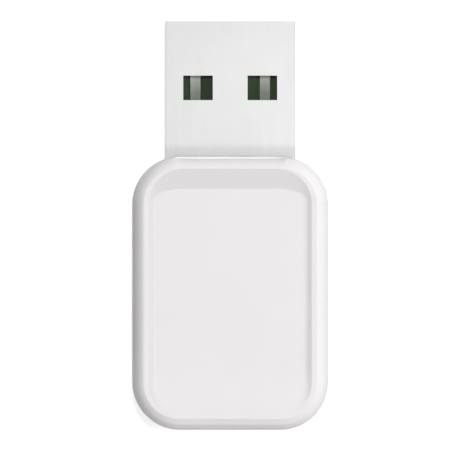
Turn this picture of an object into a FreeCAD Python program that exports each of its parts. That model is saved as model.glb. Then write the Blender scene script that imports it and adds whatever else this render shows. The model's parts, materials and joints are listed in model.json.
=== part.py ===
import FreeCAD, Part
import math
import os

from FreeCAD import Vector

# A radio stick with a USB type A plug, lying on its back, in millimetres.
# X runs across the stick, Y along it towards the plug's tip and Z up through its thickness.
# The origin is the middle of the stick's outline, on the surface that it lies on.

# Body, moulded in two halves
BODY_WIDTH = 18.0
BODY_LENGTH = 25.15
BODY_CORNER_RADIUS = 4.4
BACK_EDGE_RADIUS = 1.1
FACE_EDGE_RADIUS = 1.55
FACE_CREST_DEGREES = 20.0
WALL = 1.1
FLOOR_WALL = 1.1
INNER_EDGE_CHAMFER = 0.5
DRAFT_DEGREES = 1.0

# Joint between the halves: a lip inside the wall, with beads that snap into pockets
PARTING_CHAMFER = 0.12
LIP_THICKNESS = 0.5
LIP_HEIGHT = 1.4
LIP_LEAD_IN = 0.15
LIP_CLEARANCE = 0.05
BEAD_RADIUS = 0.35
BEAD_PROTRUSION = 0.2
BEAD_LENGTH = 3.0
BEAD_BELOW_LIP_TOP = 0.5
BEAD_FROM_FRONT = 8.5
BEAD_FROM_BACK = 7.65

# Dish in the upper face: steep at the sides, a ramp at the plug end, a run-out at the far end
DISH_DEPTH = 0.15
DISH_SIDE_RIM = 1.53
DISH_END_RIM = 1.15
DISH_MOUTH_CORNER = 3.2
DISH_SIDE_RUN = 0.55
DISH_RAMP_RUN = 1.83
DISH_FOOT_CORNER_ACROSS = 2.85
DISH_FOOT_CORNER_ALONG = 1.1
DISH_RUN_OUT = 4.6
FACE_WALL = 1.1

# Plug shell, folded from one strip of steel
PLUG_EXPOSED = 12.35
PLUG_WIDTH = 12.0
PLUG_HEIGHT = 4.5
PLUG_ABOVE_FLOOR = 0.85
PLUG_BELOW_CEILING = 0.7
SHELL_INSIDE_BODY = 6.45
SHELL_SHEET = 0.3
SHELL_BEND_RADIUS = 0.4
SHELL_TIP_EDGE = 0.08
WINDOW_WIDTH = 2.7
WINDOW_LENGTH = 2.24
WINDOW_FROM_TIP = 5.0
WINDOW_OFFSET = 2.95
WINDOW_CORNER = 0.15
SEAM_GAP = 0.08
SEAM_KEY_REACH = 0.9
SEAM_KEY_NECK = 1.4
SEAM_KEY_HEAD = 2.0
SEAM_KEYS_FROM_TIP = (2.4, 8.6)
BLADE_LENGTH = 1.4
BLADE_HEIGHT = 1.6
PLUG_CLEARANCE = 0.1

# Circuit board, whose narrow end is the plug's tongue, and the insert below that end
BOARD_THICKNESS = 1.0
BOARD_SIDE_CLEARANCE = 0.4
BOARD_END_CLEARANCE = 0.3
BOARD_SHOULDER_GAP = 0.4
BOARD_SHOULDER_CORNER = 0.4
BOARD_TIP_CHAMFER = 0.25
TONGUE_SIDE_CLEARANCE = 0.1
TONGUE_RECESS = 0.6
CARRIER_THICKNESS = 0.9
CARRIER_NOSE_CHAMFER = 0.4
NUB_CLEARANCE = 0.05
BLADE_CLEARANCE = 0.1

# Contact strips on the tongue
CONTACT_THICKNESS = 0.15
CONTACT_NOSE_RADIUS = 0.12
OUTER_CONTACT_WIDTH = 0.92
OUTER_CONTACT_OFFSET = 3.19
OUTER_CONTACT_FROM_TIP = 1.3
INNER_CONTACT_WIDTH = 0.9
INNER_CONTACT_OFFSET = 1.0
INNER_CONTACT_FROM_TIP = 2.3
CONTACT_BACK_FROM_TIP = 10.2

# What carries the board and the plug shell in the body
RIB_THICKNESS = 0.8
RIB_BITE = 0.9
RIB_BEHIND_SHOULDER = (3.55, 9.05)
RIB_GAP = 0.05
SADDLE_WIDTH = 10.8
SADDLE_FROM_FRONT = (2.8, 5.2)
PIN_RADIUS = 0.5
PIN_CLEARANCE = 0.05
PIN_ABOVE_BOARD = 0.6
PIN_FROM_SIDE = 1.3
PIN_BEFORE_END = 3.4
POST_RADIUS = 1.0
ROOT_DEPTH = 0.2

# Folded shield over the radio
SHIELD_WIDTH = 10.6
SHIELD_BEHIND_SHOULDER = 5.05
SHIELD_BEFORE_END = 4.45
SHIELD_HEIGHT = 1.7
SHIELD_SHEET = 0.2
SHIELD_CORNER_RADIUS = 0.6
SHIELD_EDGE_CHAMFER = 0.15
SHIELD_VENT_RADIUS = 0.35
SHIELD_VENT_PITCH = 2.4
SHIELD_VENTS = 3
SHIELD_NOTCH_HEIGHT = 0.3
SHIELD_NOTCH_WIDTH = 1.2
SHIELD_NOTCH_PITCH = 2.4

# How a part lies on the board: its length across the stick or along it
ACROSS = False
ALONG = True

# Chips: width, length, height. A place on the board is the X of the part's middle, the
# distance of that middle behind the shoulder, where the tongue widens, and how it lies.
RADIO_CHIP_SIZE = (4.0, 4.0, 0.85)
RADIO_CHIP_X = -1.9
RADIO_CHIP_PADS_PER_SIDE = 6
BRIDGE_CHIP_SIZE = (4.0, 4.0, 0.85)
BRIDGE_CHIP_PLACE = (0.4, 4.85, ACROSS)
BRIDGE_CHIP_PADS_PER_SIDE = 5
PAD_PITCH = 0.6
PAD_WIDTH = 0.26
PAD_REACH = 0.4
PAD_THICKNESS = 0.05
CHIP_EDGE_CHAMFER = 0.08
CHIP_KEY_CHAMFER = 0.4

# Small packages with bent leads
LEADED_BODY = (2.9, 1.6, 1.1)
LEADED_STAND_OFF = 0.1
LEAD_WIDTH = 0.4
LEAD_PITCH = 0.95
LEAD_SHEET = 0.15
LEAD_SPAN = 2.8
LEAD_FOOT = 0.4
LEAD_EXIT_HEIGHT = 0.6
REGULATOR_PLACE = (3.8, 2.45, ACROSS)
PROTECTOR_PLACE = (-0.2, 2.25, ACROSS)

# Crystal: ceramic tray with a metal lid
CRYSTAL_TRAY = (3.2, 2.5, 0.45)
CRYSTAL_LID_INSET = 0.2
CRYSTAL_LID_HEIGHT = 0.25
CRYSTAL_CORNER_RADIUS = 0.3

# Soldered two-ended parts: length between the ends, width, height
SMALL_CAPACITOR = (1.0, 0.5, 0.5)
SMALL_RESISTOR = (1.0, 0.5, 0.35)
LARGE_CAPACITOR = (2.0, 1.25, 1.25)
FERRITE = (1.6, 0.8, 0.8)
FUSE = (3.2, 1.6, 0.6)
ANTENNA = (7.0, 2.0, 0.8)
SMALL_END = 0.25
LARGE_END = 0.45
END_CAP_SHEET = 0.03

# Places of the soldered parts behind the shoulder
TOP_CAPACITORS = (
    (2.6, 4.45, ACROSS),
    (4.1, 4.45, ACROSS),
)
UNDER_CAPACITORS = (
    (-3.0, 3.75, ALONG),
    (3.8, 5.15, ALONG),
    (0.4, 8.75, ACROSS),
)
TOP_RESISTORS = (
    (-1.9, 4.45, ACROSS),
    (-0.6, 4.45, ACROSS),
    (0.7, 4.45, ACROSS),
)
UNDER_RESISTORS = (
    (-3.0, 5.75, ALONG),
    (0.4, 7.75, ACROSS),
)
FERRITE_PLACE = (-2.4, 2.45, ALONG)
FUSE_PLACE = (-3.9, 2.45, ALONG)
LARGE_CAPACITOR_PLACES = (
    (-4.7, 3.1, ALONG),
    (4.7, 3.1, ALONG),
)

# Places under the shield, as X, distance inside its front or back face, and how it lies
CRYSTAL_PLACE = (3.1, 1.75, ACROSS)
SHIELDED_CAPACITORS = (
    (1.9, 1.0, ALONG),
    (3.0, 1.0, ALONG),
    (4.1, 1.0, ALONG),
)

# Places at the end away from the plug: X, distance before the board's end, how it lies
MATCHING_PARTS = (
    (-1.1, 3.6, ALONG),
    (0.0, 3.6, ALONG),
    (1.1, 3.6, ALONG),
)
ANTENNA_PLACE = (0.0, 1.45, ACROSS)

# Levels and lines that follow from the sizes
TIP_Y = (BODY_LENGTH + PLUG_EXPOSED) / 2
FRONT_Y = TIP_Y - PLUG_EXPOSED
BACK_Y = FRONT_Y - BODY_LENGTH
SHELL_BACK_Y = FRONT_Y - SHELL_INSIDE_BODY
SHELL_LENGTH = TIP_Y - SHELL_BACK_Y
SHELL_BOTTOM_Z = FLOOR_WALL + PLUG_ABOVE_FLOOR
SHELL_TOP_Z = SHELL_BOTTOM_Z + PLUG_HEIGHT
PLUG_CENTRE_Z = (SHELL_BOTTOM_Z + SHELL_TOP_Z) / 2
PARTING_Z = PLUG_CENTRE_Z
CEILING_Z = SHELL_TOP_Z + PLUG_BELOW_CEILING
DISH_FLOOR_Z = CEILING_Z + FACE_WALL
TOP_Z = DISH_FLOOR_Z + DISH_DEPTH
FACE_ARC_TOP_Z = TOP_Z + FACE_EDGE_RADIUS * (1 - math.cos(math.radians(FACE_CREST_DEGREES)))
CARRIER_BOTTOM_Z = SHELL_BOTTOM_Z + SHELL_SHEET
BOARD_BOTTOM_Z = CARRIER_BOTTOM_Z + CARRIER_THICKNESS
BOARD_TOP_Z = BOARD_BOTTOM_Z + BOARD_THICKNESS
TONGUE_HALF_WIDTH = PLUG_WIDTH / 2 - SHELL_SHEET - TONGUE_SIDE_CLEARANCE
TONGUE_TIP_Y = TIP_Y - TONGUE_RECESS
SHOULDER_Y = SHELL_BACK_Y - BOARD_SHOULDER_GAP
BOARD_BACK_Y = BACK_Y + WALL + BOARD_END_CLEARANCE
PIN_Y = BOARD_BACK_Y + PIN_BEFORE_END
BEAD_Z = PARTING_Z + LIP_HEIGHT - BEAD_BELOW_LIP_TOP
INNER_HALF_WIDTH = BODY_WIDTH / 2 - WALL
BOARD_HALF_WIDTH = INNER_HALF_WIDTH - BOARD_SIDE_CLEARANCE
PIN_X = BOARD_HALF_WIDTH - PIN_FROM_SIDE
RIB_INNER_X = BOARD_HALF_WIDTH - RIB_BITE
SHIELD_FRONT_Y = SHOULDER_Y - SHIELD_BEHIND_SHOULDER
SHIELD_BACK_Y = BOARD_BACK_Y + SHIELD_BEFORE_END
SHIELD_MIDDLE_Y = (SHIELD_FRONT_Y + SHIELD_BACK_Y) / 2
UP = Vector(0, 0, 1)
NEAR = 1e-3


def corner_edge(start, corner, end):
    """Quarter turn from start to end, tangent to the two legs that meet at corner.

    Equal legs give a circular arc, unequal legs the quarter ellipse that fits them.
    """
    leg = (start - corner).Length
    if abs(leg - (end - corner).Length) < NEAR:
        centre = start + end - corner
        middle = centre + (corner - centre).normalize() * leg
        return Part.Arc(start, middle, end).toShape()
    curve = Part.BezierCurve()
    curve.setPoles([start, corner, end])
    curve.setWeight(2, math.sqrt(0.5))
    return curve.toShape()


def rounded_outline(half_width, back, front, z, back_corner, front_corner):
    """Level rounded rectangle; each corner is given as its reach across and along."""
    back_x, back_y = back_corner
    front_x, front_y = front_corner
    left = -half_width
    right = half_width
    turns = [
        (Vector(left, front - front_y, z), Vector(left, front, z), Vector(left + front_x, front, z)),
        (Vector(right - front_x, front, z), Vector(right, front, z), Vector(right, front - front_y, z)),
        (Vector(right, back + back_y, z), Vector(right, back, z), Vector(right - back_x, back, z)),
        (Vector(left + back_x, back, z), Vector(left, back, z), Vector(left, back + back_y, z)),
    ]
    edges = []
    for index, (start, corner, end) in enumerate(turns):
        following = turns[(index + 1) % len(turns)][0]
        edges.append(corner_edge(start, corner, end))
        edges.append(Part.makeLine(end, following))
    return Part.Wire(edges)


def body_outline(inset, z):
    """The body's plan outline, moved inwards by inset, at height z."""
    radius = BODY_CORNER_RADIUS - inset
    return rounded_outline(
        BODY_WIDTH / 2 - inset,
        BACK_Y + inset,
        FRONT_Y - inset,
        z,
        (radius, radius),
        (radius, radius),
    )


def prism(wire, height):
    """Solid between a level outline and its copy, height above it."""
    return Part.Face(wire).extrude(UP * height)


def block(x_range, y_range, z_range):
    """Box between three pairs of limits, given in either order."""
    low = Vector(min(x_range), min(y_range), min(z_range))
    high = Vector(max(x_range), max(y_range), max(z_range))
    size = high - low
    return Part.makeBox(size.x, size.y, size.z, low)


def post(radius, x, y, bottom, top):
    """Upright cylinder between two heights."""
    return Part.makeCylinder(radius, top - bottom, Vector(x, y, bottom), UP)


def edges_at(shape, z):
    """Edges that lie wholly at height z."""
    found = []
    for edge in shape.Edges:
        middle = edge.valueAt((edge.FirstParameter + edge.LastParameter) / 2)
        points = [vertex.Point for vertex in edge.Vertexes] + [middle]
        if all(abs(point.z - z) < 1e-5 for point in points):
            found.append(edge)
    return found


def mirrored(shape):
    """The same shape on the other side of the stick's middle plane."""
    return shape.mirror(Vector(0, 0, 0), Vector(1, 0, 0))


def both_sides(shapes):
    """The shapes and their mirror images across the middle plane."""
    return list(shapes) + [mirrored(shape) for shape in shapes]


def body_half(outer_z, edge_radius):
    """Half of the body's outer form, from the parting plane to its outer face.

    The wall leans inwards by the draft angle, its outer edge is rounded and its edge
    at the parting plane is chamfered, so that the two halves meet in a fine groove.
    """
    rise = abs(outer_z - PARTING_Z)
    lean = rise * math.tan(math.radians(DRAFT_DEGREES))
    wires = [body_outline(0.0, PARTING_Z), body_outline(lean, outer_z)]
    half = Part.makeLoft(wires, True, True)
    half = half.makeFillet(edge_radius, edges_at(half, outer_z))
    return half.makeChamfer(PARTING_CHAMFER, edges_at(half, PARTING_Z))


def cavity(end_z):
    """Hollow of one half, from the parting plane to its floor or ceiling, with bevelled edges."""
    room = prism(body_outline(WALL, PARTING_Z), end_z - PARTING_Z)
    return room.makeChamfer(INNER_EDGE_CHAMFER, edges_at(room, end_z))


def plug_section(grow):
    """The plug's cross-section at the shell's back end, grown outwards by grow."""
    half_width = PLUG_WIDTH / 2 + grow
    half_height = PLUG_HEIGHT / 2 + grow
    radius = SHELL_BEND_RADIUS + grow
    flat = rounded_outline(
        half_width,
        -half_height,
        half_height,
        0.0,
        (radius, radius),
        (radius, radius),
    )
    flat.rotate(Vector(0, 0, 0), Vector(1, 0, 0), 90)
    flat.translate(Vector(0, SHELL_BACK_Y, PLUG_CENTRE_Z))
    return flat


def plug_passage():
    """Opening in the body's front wall that the plug shell passes through."""
    passage = Part.Face(plug_section(PLUG_CLEARANCE)).extrude(Vector(0, SHELL_LENGTH, 0))
    behind_wall = FRONT_Y - BODY_CORNER_RADIUS
    keep = block((-BODY_WIDTH, BODY_WIDTH), (behind_wall, TIP_Y), (0, TOP_Z))
    return passage.common(keep)


def dish():
    """The hollow of the upper face, as the solid that is taken out of it.

    Ruled walls run from the mouth to the foot outline. A profile along the stick then
    lifts the floor in one arc to the rim at the far end, so that the dish runs out there.
    """
    mouth_half = BODY_WIDTH / 2 - DISH_SIDE_RIM
    mouth_back = BACK_Y + DISH_END_RIM
    mouth_front = FRONT_Y - DISH_END_RIM
    back_corner = DISH_MOUTH_CORNER - DISH_SIDE_RUN
    mouth = rounded_outline(
        mouth_half,
        mouth_back,
        mouth_front,
        TOP_Z,
        (DISH_MOUTH_CORNER, DISH_MOUTH_CORNER),
        (DISH_MOUTH_CORNER, DISH_MOUTH_CORNER),
    )
    foot = rounded_outline(
        mouth_half - DISH_SIDE_RUN,
        mouth_back + DISH_SIDE_RUN,
        mouth_front - DISH_RAMP_RUN,
        DISH_FLOOR_Z,
        (back_corner, back_corner),
        (DISH_FOOT_CORNER_ACROSS, DISH_FOOT_CORNER_ALONG),
    )
    bowl = Part.makeLoft([mouth, foot], True, True)

    arc_radius = (DISH_RUN_OUT**2 + DISH_DEPTH**2) / (2 * DISH_DEPTH)
    half_turn = math.asin(DISH_RUN_OUT / arc_radius) / 2
    arc_start = Vector(-BODY_WIDTH / 2, mouth_back + DISH_RUN_OUT, DISH_FLOOR_Z)
    arc_end = Vector(-BODY_WIDTH / 2, mouth_back, TOP_Z)
    arc_middle = Vector(
        -BODY_WIDTH / 2,
        arc_start.y - arc_radius * math.sin(half_turn),
        DISH_FLOOR_Z + arc_radius * (1 - math.cos(half_turn)),
    )
    front_low = Vector(-BODY_WIDTH / 2, FRONT_Y, DISH_FLOOR_Z)
    front_high = Vector(-BODY_WIDTH / 2, FRONT_Y, TOP_Z)
    profile = Part.Wire(
        [
            Part.makeLine(front_low, arc_start),
            Part.Arc(arc_start, arc_middle, arc_end).toShape(),
            Part.makeLine(arc_end, front_high),
            Part.makeLine(front_high, front_low),
        ]
    )
    above_floor = Part.Face(profile).extrude(Vector(BODY_WIDTH, 0, 0))
    return bowl.common(above_floor)


def snap_beads(grow):
    """Rounded bars along both sides at the lip, grown by grow where they are cut as pockets."""
    centre_x = BODY_WIDTH / 2 - WALL + LIP_THICKNESS + BEAD_PROTRUSION - BEAD_RADIUS
    length = BEAD_LENGTH + 2 * grow
    bars = []
    for middle in (FRONT_Y - BEAD_FROM_FRONT, BACK_Y + BEAD_FROM_BACK):
        start = Vector(centre_x, middle - length / 2, BEAD_Z)
        bars.append(Part.makeCylinder(BEAD_RADIUS + grow, length, start, Vector(0, 1, 0)))
    inner_side = (0, INNER_HALF_WIDTH + LIP_THICKNESS / 2)
    inside = block(inner_side, (BACK_Y, FRONT_Y), (0, TOP_Z))
    return both_sides(bar.cut(inside) for bar in bars)


def board_ribs(inner_x, outer_x, z_range):
    """Upright ribs at the board's two long edges, one above or below each clamping place."""
    ribs = []
    for distance in RIB_BEHIND_SHOULDER:
        middle = SHOULDER_Y - distance
        y_range = (middle - RIB_THICKNESS / 2, middle + RIB_THICKNESS / 2)
        ribs.append(block((inner_x, outer_x), y_range, z_range))
    return both_sides(ribs)


def saddle_ribs(z_range):
    """Ribs across the body that the plug shell lies between."""
    ribs = []
    for from_front in SADDLE_FROM_FRONT:
        middle = FRONT_Y - from_front
        y_range = (middle - RIB_THICKNESS / 2, middle + RIB_THICKNESS / 2)
        ribs.append(block((-SADDLE_WIDTH / 2, SADDLE_WIDTH / 2), y_range, z_range))
    return ribs


def top_cover():
    """Upper half: dished face, rebate for the lip, pockets for the beads, and ribs.

    Its rounded edge would end level above the face, so that where the half is cut off at
    the face a crest is left, at which the edge stops short of level by the crest's angle.
    """
    cover = body_half(FACE_ARC_TOP_Z, FACE_EDGE_RADIUS)
    above_face = block((-BODY_WIDTH, BODY_WIDTH), (BACK_Y, FRONT_Y), (TOP_Z, FACE_ARC_TOP_Z))
    cover = cover.cut(above_face)
    cover = cover.cut(cavity(CEILING_Z))
    rebate_inset = WALL - LIP_THICKNESS - LIP_CLEARANCE
    rebate = prism(body_outline(rebate_inset, PARTING_Z), LIP_HEIGHT + LIP_CLEARANCE)
    cover = cover.cut([rebate, dish()])
    root = CEILING_Z + ROOT_DEPTH
    foot = BOARD_TOP_Z + RIB_GAP
    clear_of_lip = INNER_HALF_WIDTH - LIP_CLEARANCE
    added = board_ribs(RIB_INNER_X, clear_of_lip, (foot, root))
    added += saddle_ribs((SHELL_TOP_Z, root))
    cover = cover.fuse(added)
    return cover.cut([plug_passage()] + snap_beads(LIP_CLEARANCE)).removeSplitter()


def bottom_cover():
    """Lower half: lip with beads, ribs and a saddle, and two posts with the board's pins."""
    cover = body_half(0.0, BACK_EDGE_RADIUS)
    cover = cover.cut(cavity(FLOOR_WALL))
    lip_outside = body_outline(WALL - LIP_THICKNESS, PARTING_Z - LIP_THICKNESS)
    lip = prism(lip_outside, LIP_HEIGHT + LIP_THICKNESS)
    lip_top = PARTING_Z + LIP_HEIGHT
    lip = lip.makeChamfer(LIP_LEAD_IN, edges_at(lip, lip_top))
    lip = lip.cut(prism(body_outline(WALL, 0.0), TOP_Z))
    root = FLOOR_WALL - ROOT_DEPTH
    stand = post(POST_RADIUS, PIN_X, PIN_Y, root, BOARD_BOTTOM_Z)
    pin = post(PIN_RADIUS, PIN_X, PIN_Y, BOARD_BOTTOM_Z, BOARD_TOP_Z + PIN_ABOVE_BOARD)
    into_wall = INNER_HALF_WIDTH + ROOT_DEPTH
    added = [lip] + snap_beads(0.0)
    added += board_ribs(RIB_INNER_X, into_wall, (root, BOARD_BOTTOM_Z))
    added += saddle_ribs((root, SHELL_BOTTOM_Z))
    added += both_sides([stand, pin])
    cover = cover.fuse(added)
    return cover.cut(plug_passage()).removeSplitter()


def window_outline(x, z, shrink):
    """Outline of one window of the plug shell, around x, at height z, made smaller by shrink."""
    front = TIP_Y - WINDOW_FROM_TIP - shrink
    back = TIP_Y - WINDOW_FROM_TIP - WINDOW_LENGTH + shrink
    corner = (WINDOW_CORNER, WINDOW_CORNER)
    half_width = WINDOW_WIDTH / 2 - shrink
    outline = rounded_outline(half_width, back, front, z, corner, corner)
    outline.translate(Vector(x, 0, 0))
    return outline


def seam():
    """Slit along the middle of the plug's underside, with dovetail keys that lock the fold."""
    flare = (SEAM_KEY_HEAD - SEAM_KEY_NECK) / 2
    sides = (1, -1)
    points = [Vector(0, TIP_Y + SHELL_SHEET, SHELL_BOTTOM_Z)]
    for side, from_tip in zip(sides, SEAM_KEYS_FROM_TIP):
        neck_front = TIP_Y - from_tip
        neck_back = neck_front - SEAM_KEY_NECK
        reach = side * SEAM_KEY_REACH
        points.append(Vector(0, neck_front, SHELL_BOTTOM_Z))
        points.append(Vector(reach, neck_front + flare, SHELL_BOTTOM_Z))
        points.append(Vector(reach, neck_back - flare, SHELL_BOTTOM_Z))
        points.append(Vector(0, neck_back, SHELL_BOTTOM_Z))
    points.append(Vector(0, SHELL_BACK_Y - SHELL_SHEET, SHELL_BOTTOM_Z))
    path = Part.makePolygon(points)
    side_line = path.makeOffset2D(SEAM_GAP / 2, join=2, openResult=True)
    other_line = path.makeOffset2D(-SEAM_GAP / 2, join=2, openResult=True)
    near = [vertex.Point for vertex in side_line.OrderedVertexes]
    far = [vertex.Point for vertex in other_line.OrderedVertexes]
    if (near[-1] - far[0]).Length > (near[-1] - far[-1]).Length:
        far.reverse()
    slit = Part.Face(Part.makePolygon(near + far + near[:1]))
    return slit.extrude(UP * SHELL_SHEET)


def plug_shell():
    """Folded steel shell: bent section, windows above and below, seam, and two solder blades."""
    along = Vector(0, SHELL_LENGTH, 0)
    shell = Part.Face(plug_section(0.0)).extrude(along)
    tip_edges = [edge for edge in shell.Edges if edge.BoundBox.YMin > TIP_Y - NEAR]
    shell = shell.makeChamfer(SHELL_TIP_EDGE, tip_edges)
    cut_out = [Part.Face(plug_section(-SHELL_SHEET)).extrude(along), seam()]
    for x in (-WINDOW_OFFSET, WINDOW_OFFSET):
        cut_out.append(prism(window_outline(x, 0.0, 0.0), TOP_Z))
    blade_z = (BOARD_BOTTOM_Z + BOARD_TOP_Z) / 2
    blade = block(
        (PLUG_WIDTH / 2 - SHELL_SHEET, PLUG_WIDTH / 2),
        (SHELL_BACK_Y - BLADE_LENGTH, SHELL_BACK_Y),
        (blade_z - BLADE_HEIGHT / 2, blade_z + BLADE_HEIGHT / 2),
    )
    end_edges = [
        edge
        for edge in blade.Edges
        if edge.BoundBox.YMax < SHELL_BACK_Y - BLADE_LENGTH + NEAR
        and edge.BoundBox.XLength > SHELL_SHEET / 2
    ]
    blade = blade.makeChamfer(SHELL_SHEET, end_edges)
    return shell.fuse(both_sides([blade])).cut(cut_out).removeSplitter()


def tongue_carrier():
    """Insert that fills the plug shell below the board, with nubs seated in the lower windows."""
    nose = block(
        (-TONGUE_HALF_WIDTH, TONGUE_HALF_WIDTH),
        (SHELL_BACK_Y, TONGUE_TIP_Y),
        (CARRIER_BOTTOM_Z, BOARD_BOTTOM_Z),
    )
    lower_tip = [
        edge
        for edge in edges_at(nose, CARRIER_BOTTOM_Z)
        if edge.BoundBox.YMin > TONGUE_TIP_Y - NEAR
    ]
    carrier = nose.makeChamfer(CARRIER_NOSE_CHAMFER, lower_tip)
    nub_bottom = SHELL_BOTTOM_Z + NUB_CLEARANCE
    for x in (-WINDOW_OFFSET, WINDOW_OFFSET):
        outline = window_outline(x, nub_bottom, NUB_CLEARANCE)
        carrier = carrier.fuse(prism(outline, BOARD_BOTTOM_Z - nub_bottom))
    return carrier.removeSplitter()


def circuit_board():
    """Board: wide part in the body, narrow tongue in the plug, notches for the blades, pin holes."""
    inset = WALL + BOARD_SIDE_CLEARANCE
    radius = BODY_CORNER_RADIUS - inset
    wide = rounded_outline(
        BOARD_HALF_WIDTH,
        BOARD_BACK_Y,
        SHOULDER_Y,
        BOARD_BOTTOM_Z,
        (radius, radius),
        (BOARD_SHOULDER_CORNER, BOARD_SHOULDER_CORNER),
    )
    tongue = block(
        (-TONGUE_HALF_WIDTH, TONGUE_HALF_WIDTH),
        (SHOULDER_Y - BOARD_THICKNESS, TONGUE_TIP_Y),
        (BOARD_BOTTOM_Z, BOARD_TOP_Z),
    )
    tip_edges = [
        edge
        for edge in tongue.Edges
        if edge.BoundBox.YMin > TONGUE_TIP_Y - NEAR
        and edge.BoundBox.ZMax > BOARD_TOP_Z - NEAR
    ]
    tongue = tongue.makeChamfer(BOARD_TIP_CHAMFER, tip_edges)
    notch = block(
        (TONGUE_HALF_WIDTH, PLUG_WIDTH / 2 + BLADE_CLEARANCE),
        (SHELL_BACK_Y - BLADE_LENGTH - BLADE_CLEARANCE, SHELL_BACK_Y),
        (BOARD_BOTTOM_Z, BOARD_TOP_Z),
    )
    hole = post(PIN_RADIUS + PIN_CLEARANCE, PIN_X, PIN_Y, BOARD_BOTTOM_Z, BOARD_TOP_Z)
    board = prism(wide, BOARD_THICKNESS).cut(both_sides([notch, hole]))
    return board.fuse(tongue).removeSplitter()


def contact(x, width, from_tip):
    """One strip on the tongue, with its upper front edge rounded down."""
    front = TIP_Y - from_tip
    back = TIP_Y - CONTACT_BACK_FROM_TIP
    top = BOARD_TOP_Z + CONTACT_THICKNESS
    strip = block((x - width / 2, x + width / 2), (back, front), (BOARD_TOP_Z, top))
    nose = [edge for edge in edges_at(strip, top) if edge.BoundBox.YMin > front - NEAR]
    return strip.makeFillet(CONTACT_NOSE_RADIUS, nose)


def behind(line_y, place):
    """Place counted from a line across the board, away from the plug."""
    x, distance, turned = place
    return x, line_y - distance, turned


def before(line_y, place):
    """Place counted from a line across the board, towards the plug."""
    x, distance, turned = place
    return x, line_y + distance, turned


def on_board(shape, place):
    """A copy moved from the origin to its place on the board's upper face."""
    x, y, turned = place
    copy = shape.copy()
    if turned:
        copy.rotate(Vector(0, 0, 0), UP, 90)
    copy.translate(Vector(x, y, BOARD_TOP_Z))
    return copy


def under_board(shape, place):
    """A copy turned over and moved to its place on the board's lower face."""
    x, y, turned = place
    copy = shape.copy()
    if turned:
        copy.rotate(Vector(0, 0, 0), UP, 90)
    copy.rotate(Vector(0, 0, 0), Vector(0, 1, 0), 180)
    copy.translate(Vector(x, y, BOARD_BOTTOM_Z))
    return copy


def leadless_chip(size, pads_per_side):
    """Square chip with no leads: moulded body on rows of pads, cut off at its first corner."""
    width, length, height = size
    body = block((-width / 2, width / 2), (-length / 2, length / 2), (PAD_THICKNESS, height))
    key = [
        edge
        for edge in body.Edges
        if edge.BoundBox.XMax < NEAR - width / 2 and edge.BoundBox.YMin > length / 2 - NEAR
    ]
    body = body.makeChamfer(CHIP_KEY_CHAMFER, key)
    body = body.makeChamfer(CHIP_EDGE_CHAMFER, edges_at(body, height))
    pads = []
    for index in range(pads_per_side):
        along = (index - (pads_per_side - 1) / 2) * PAD_PITCH
        span = (along - PAD_WIDTH / 2, along + PAD_WIDTH / 2)
        level = (0.0, PAD_THICKNESS)
        for side in (-1, 1):
            across = (side * width / 2, side * (width / 2 - PAD_REACH))
            pads.append(block(across, span, level))
            across = (side * length / 2, side * (length / 2 - PAD_REACH))
            pads.append(block(span, across, level))
    return body.fuse(pads)


def bent_lead(x):
    """Lead that leaves the package's side, bends down and ends in a flat foot."""
    body_edge = LEADED_BODY[1] / 2
    knee = body_edge + (LEAD_SPAN / 2 - LEAD_FOOT - body_edge) / 2
    foot_start = LEAD_SPAN / 2 - LEAD_FOOT
    top = LEAD_EXIT_HEIGHT
    points = [
        (body_edge - LEAD_SHEET, top),
        (knee, top),
        (foot_start + LEAD_SHEET, LEAD_SHEET),
        (LEAD_SPAN / 2, LEAD_SHEET),
        (LEAD_SPAN / 2, 0.0),
        (foot_start, 0.0),
        (knee - LEAD_SHEET, top - LEAD_SHEET),
        (body_edge - LEAD_SHEET, top - LEAD_SHEET),
    ]
    corners = [Vector(x - LEAD_WIDTH / 2, y, z) for y, z in points]
    side = Part.Face(Part.makePolygon(corners + corners[:1]))
    return side.extrude(Vector(LEAD_WIDTH, 0, 0))


def leaded_package(front_leads, back_leads):
    """Moulded package with bent leads, each lead given by its step from the middle."""
    width, length, height = LEADED_BODY
    bottom = LEADED_STAND_OFF
    body = block((-width / 2, width / 2), (-length / 2, length / 2), (bottom, height))
    body = body.makeChamfer(CHIP_EDGE_CHAMFER, edges_at(body, height))
    leads = [bent_lead(step * LEAD_PITCH) for step in front_leads]
    turned = [bent_lead(step * LEAD_PITCH) for step in back_leads]
    for lead in turned:
        lead.rotate(Vector(0, 0, 0), UP, 180)
    return body.fuse(leads + turned)


def two_ended(size, end):
    """Soldered part with a metal cap at each end that stands slightly proud of its body."""
    length, width, height = size
    half = length / 2
    inner_half = width / 2 - END_CAP_SHEET
    caps = [
        block((-half, end - half), (-width / 2, width / 2), (0.0, height)),
        block((half - end, half), (-width / 2, width / 2), (0.0, height)),
    ]
    body = block(
        (end - half, half - end),
        (-inner_half, inner_half),
        (END_CAP_SHEET, height - END_CAP_SHEET),
    )
    return body.fuse(caps)


def crystal():
    """Ceramic tray closed by a metal lid with rounded corners."""
    width, length, tray_height = CRYSTAL_TRAY
    tray = block((-width / 2, width / 2), (-length / 2, length / 2), (0.0, tray_height))
    corner = (CRYSTAL_CORNER_RADIUS, CRYSTAL_CORNER_RADIUS)
    half_length = length / 2 - CRYSTAL_LID_INSET
    lid_outline = rounded_outline(
        width / 2 - CRYSTAL_LID_INSET,
        -half_length,
        half_length,
        tray_height,
        corner,
        corner,
    )
    return tray.fuse(prism(lid_outline, CRYSTAL_LID_HEIGHT))


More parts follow.
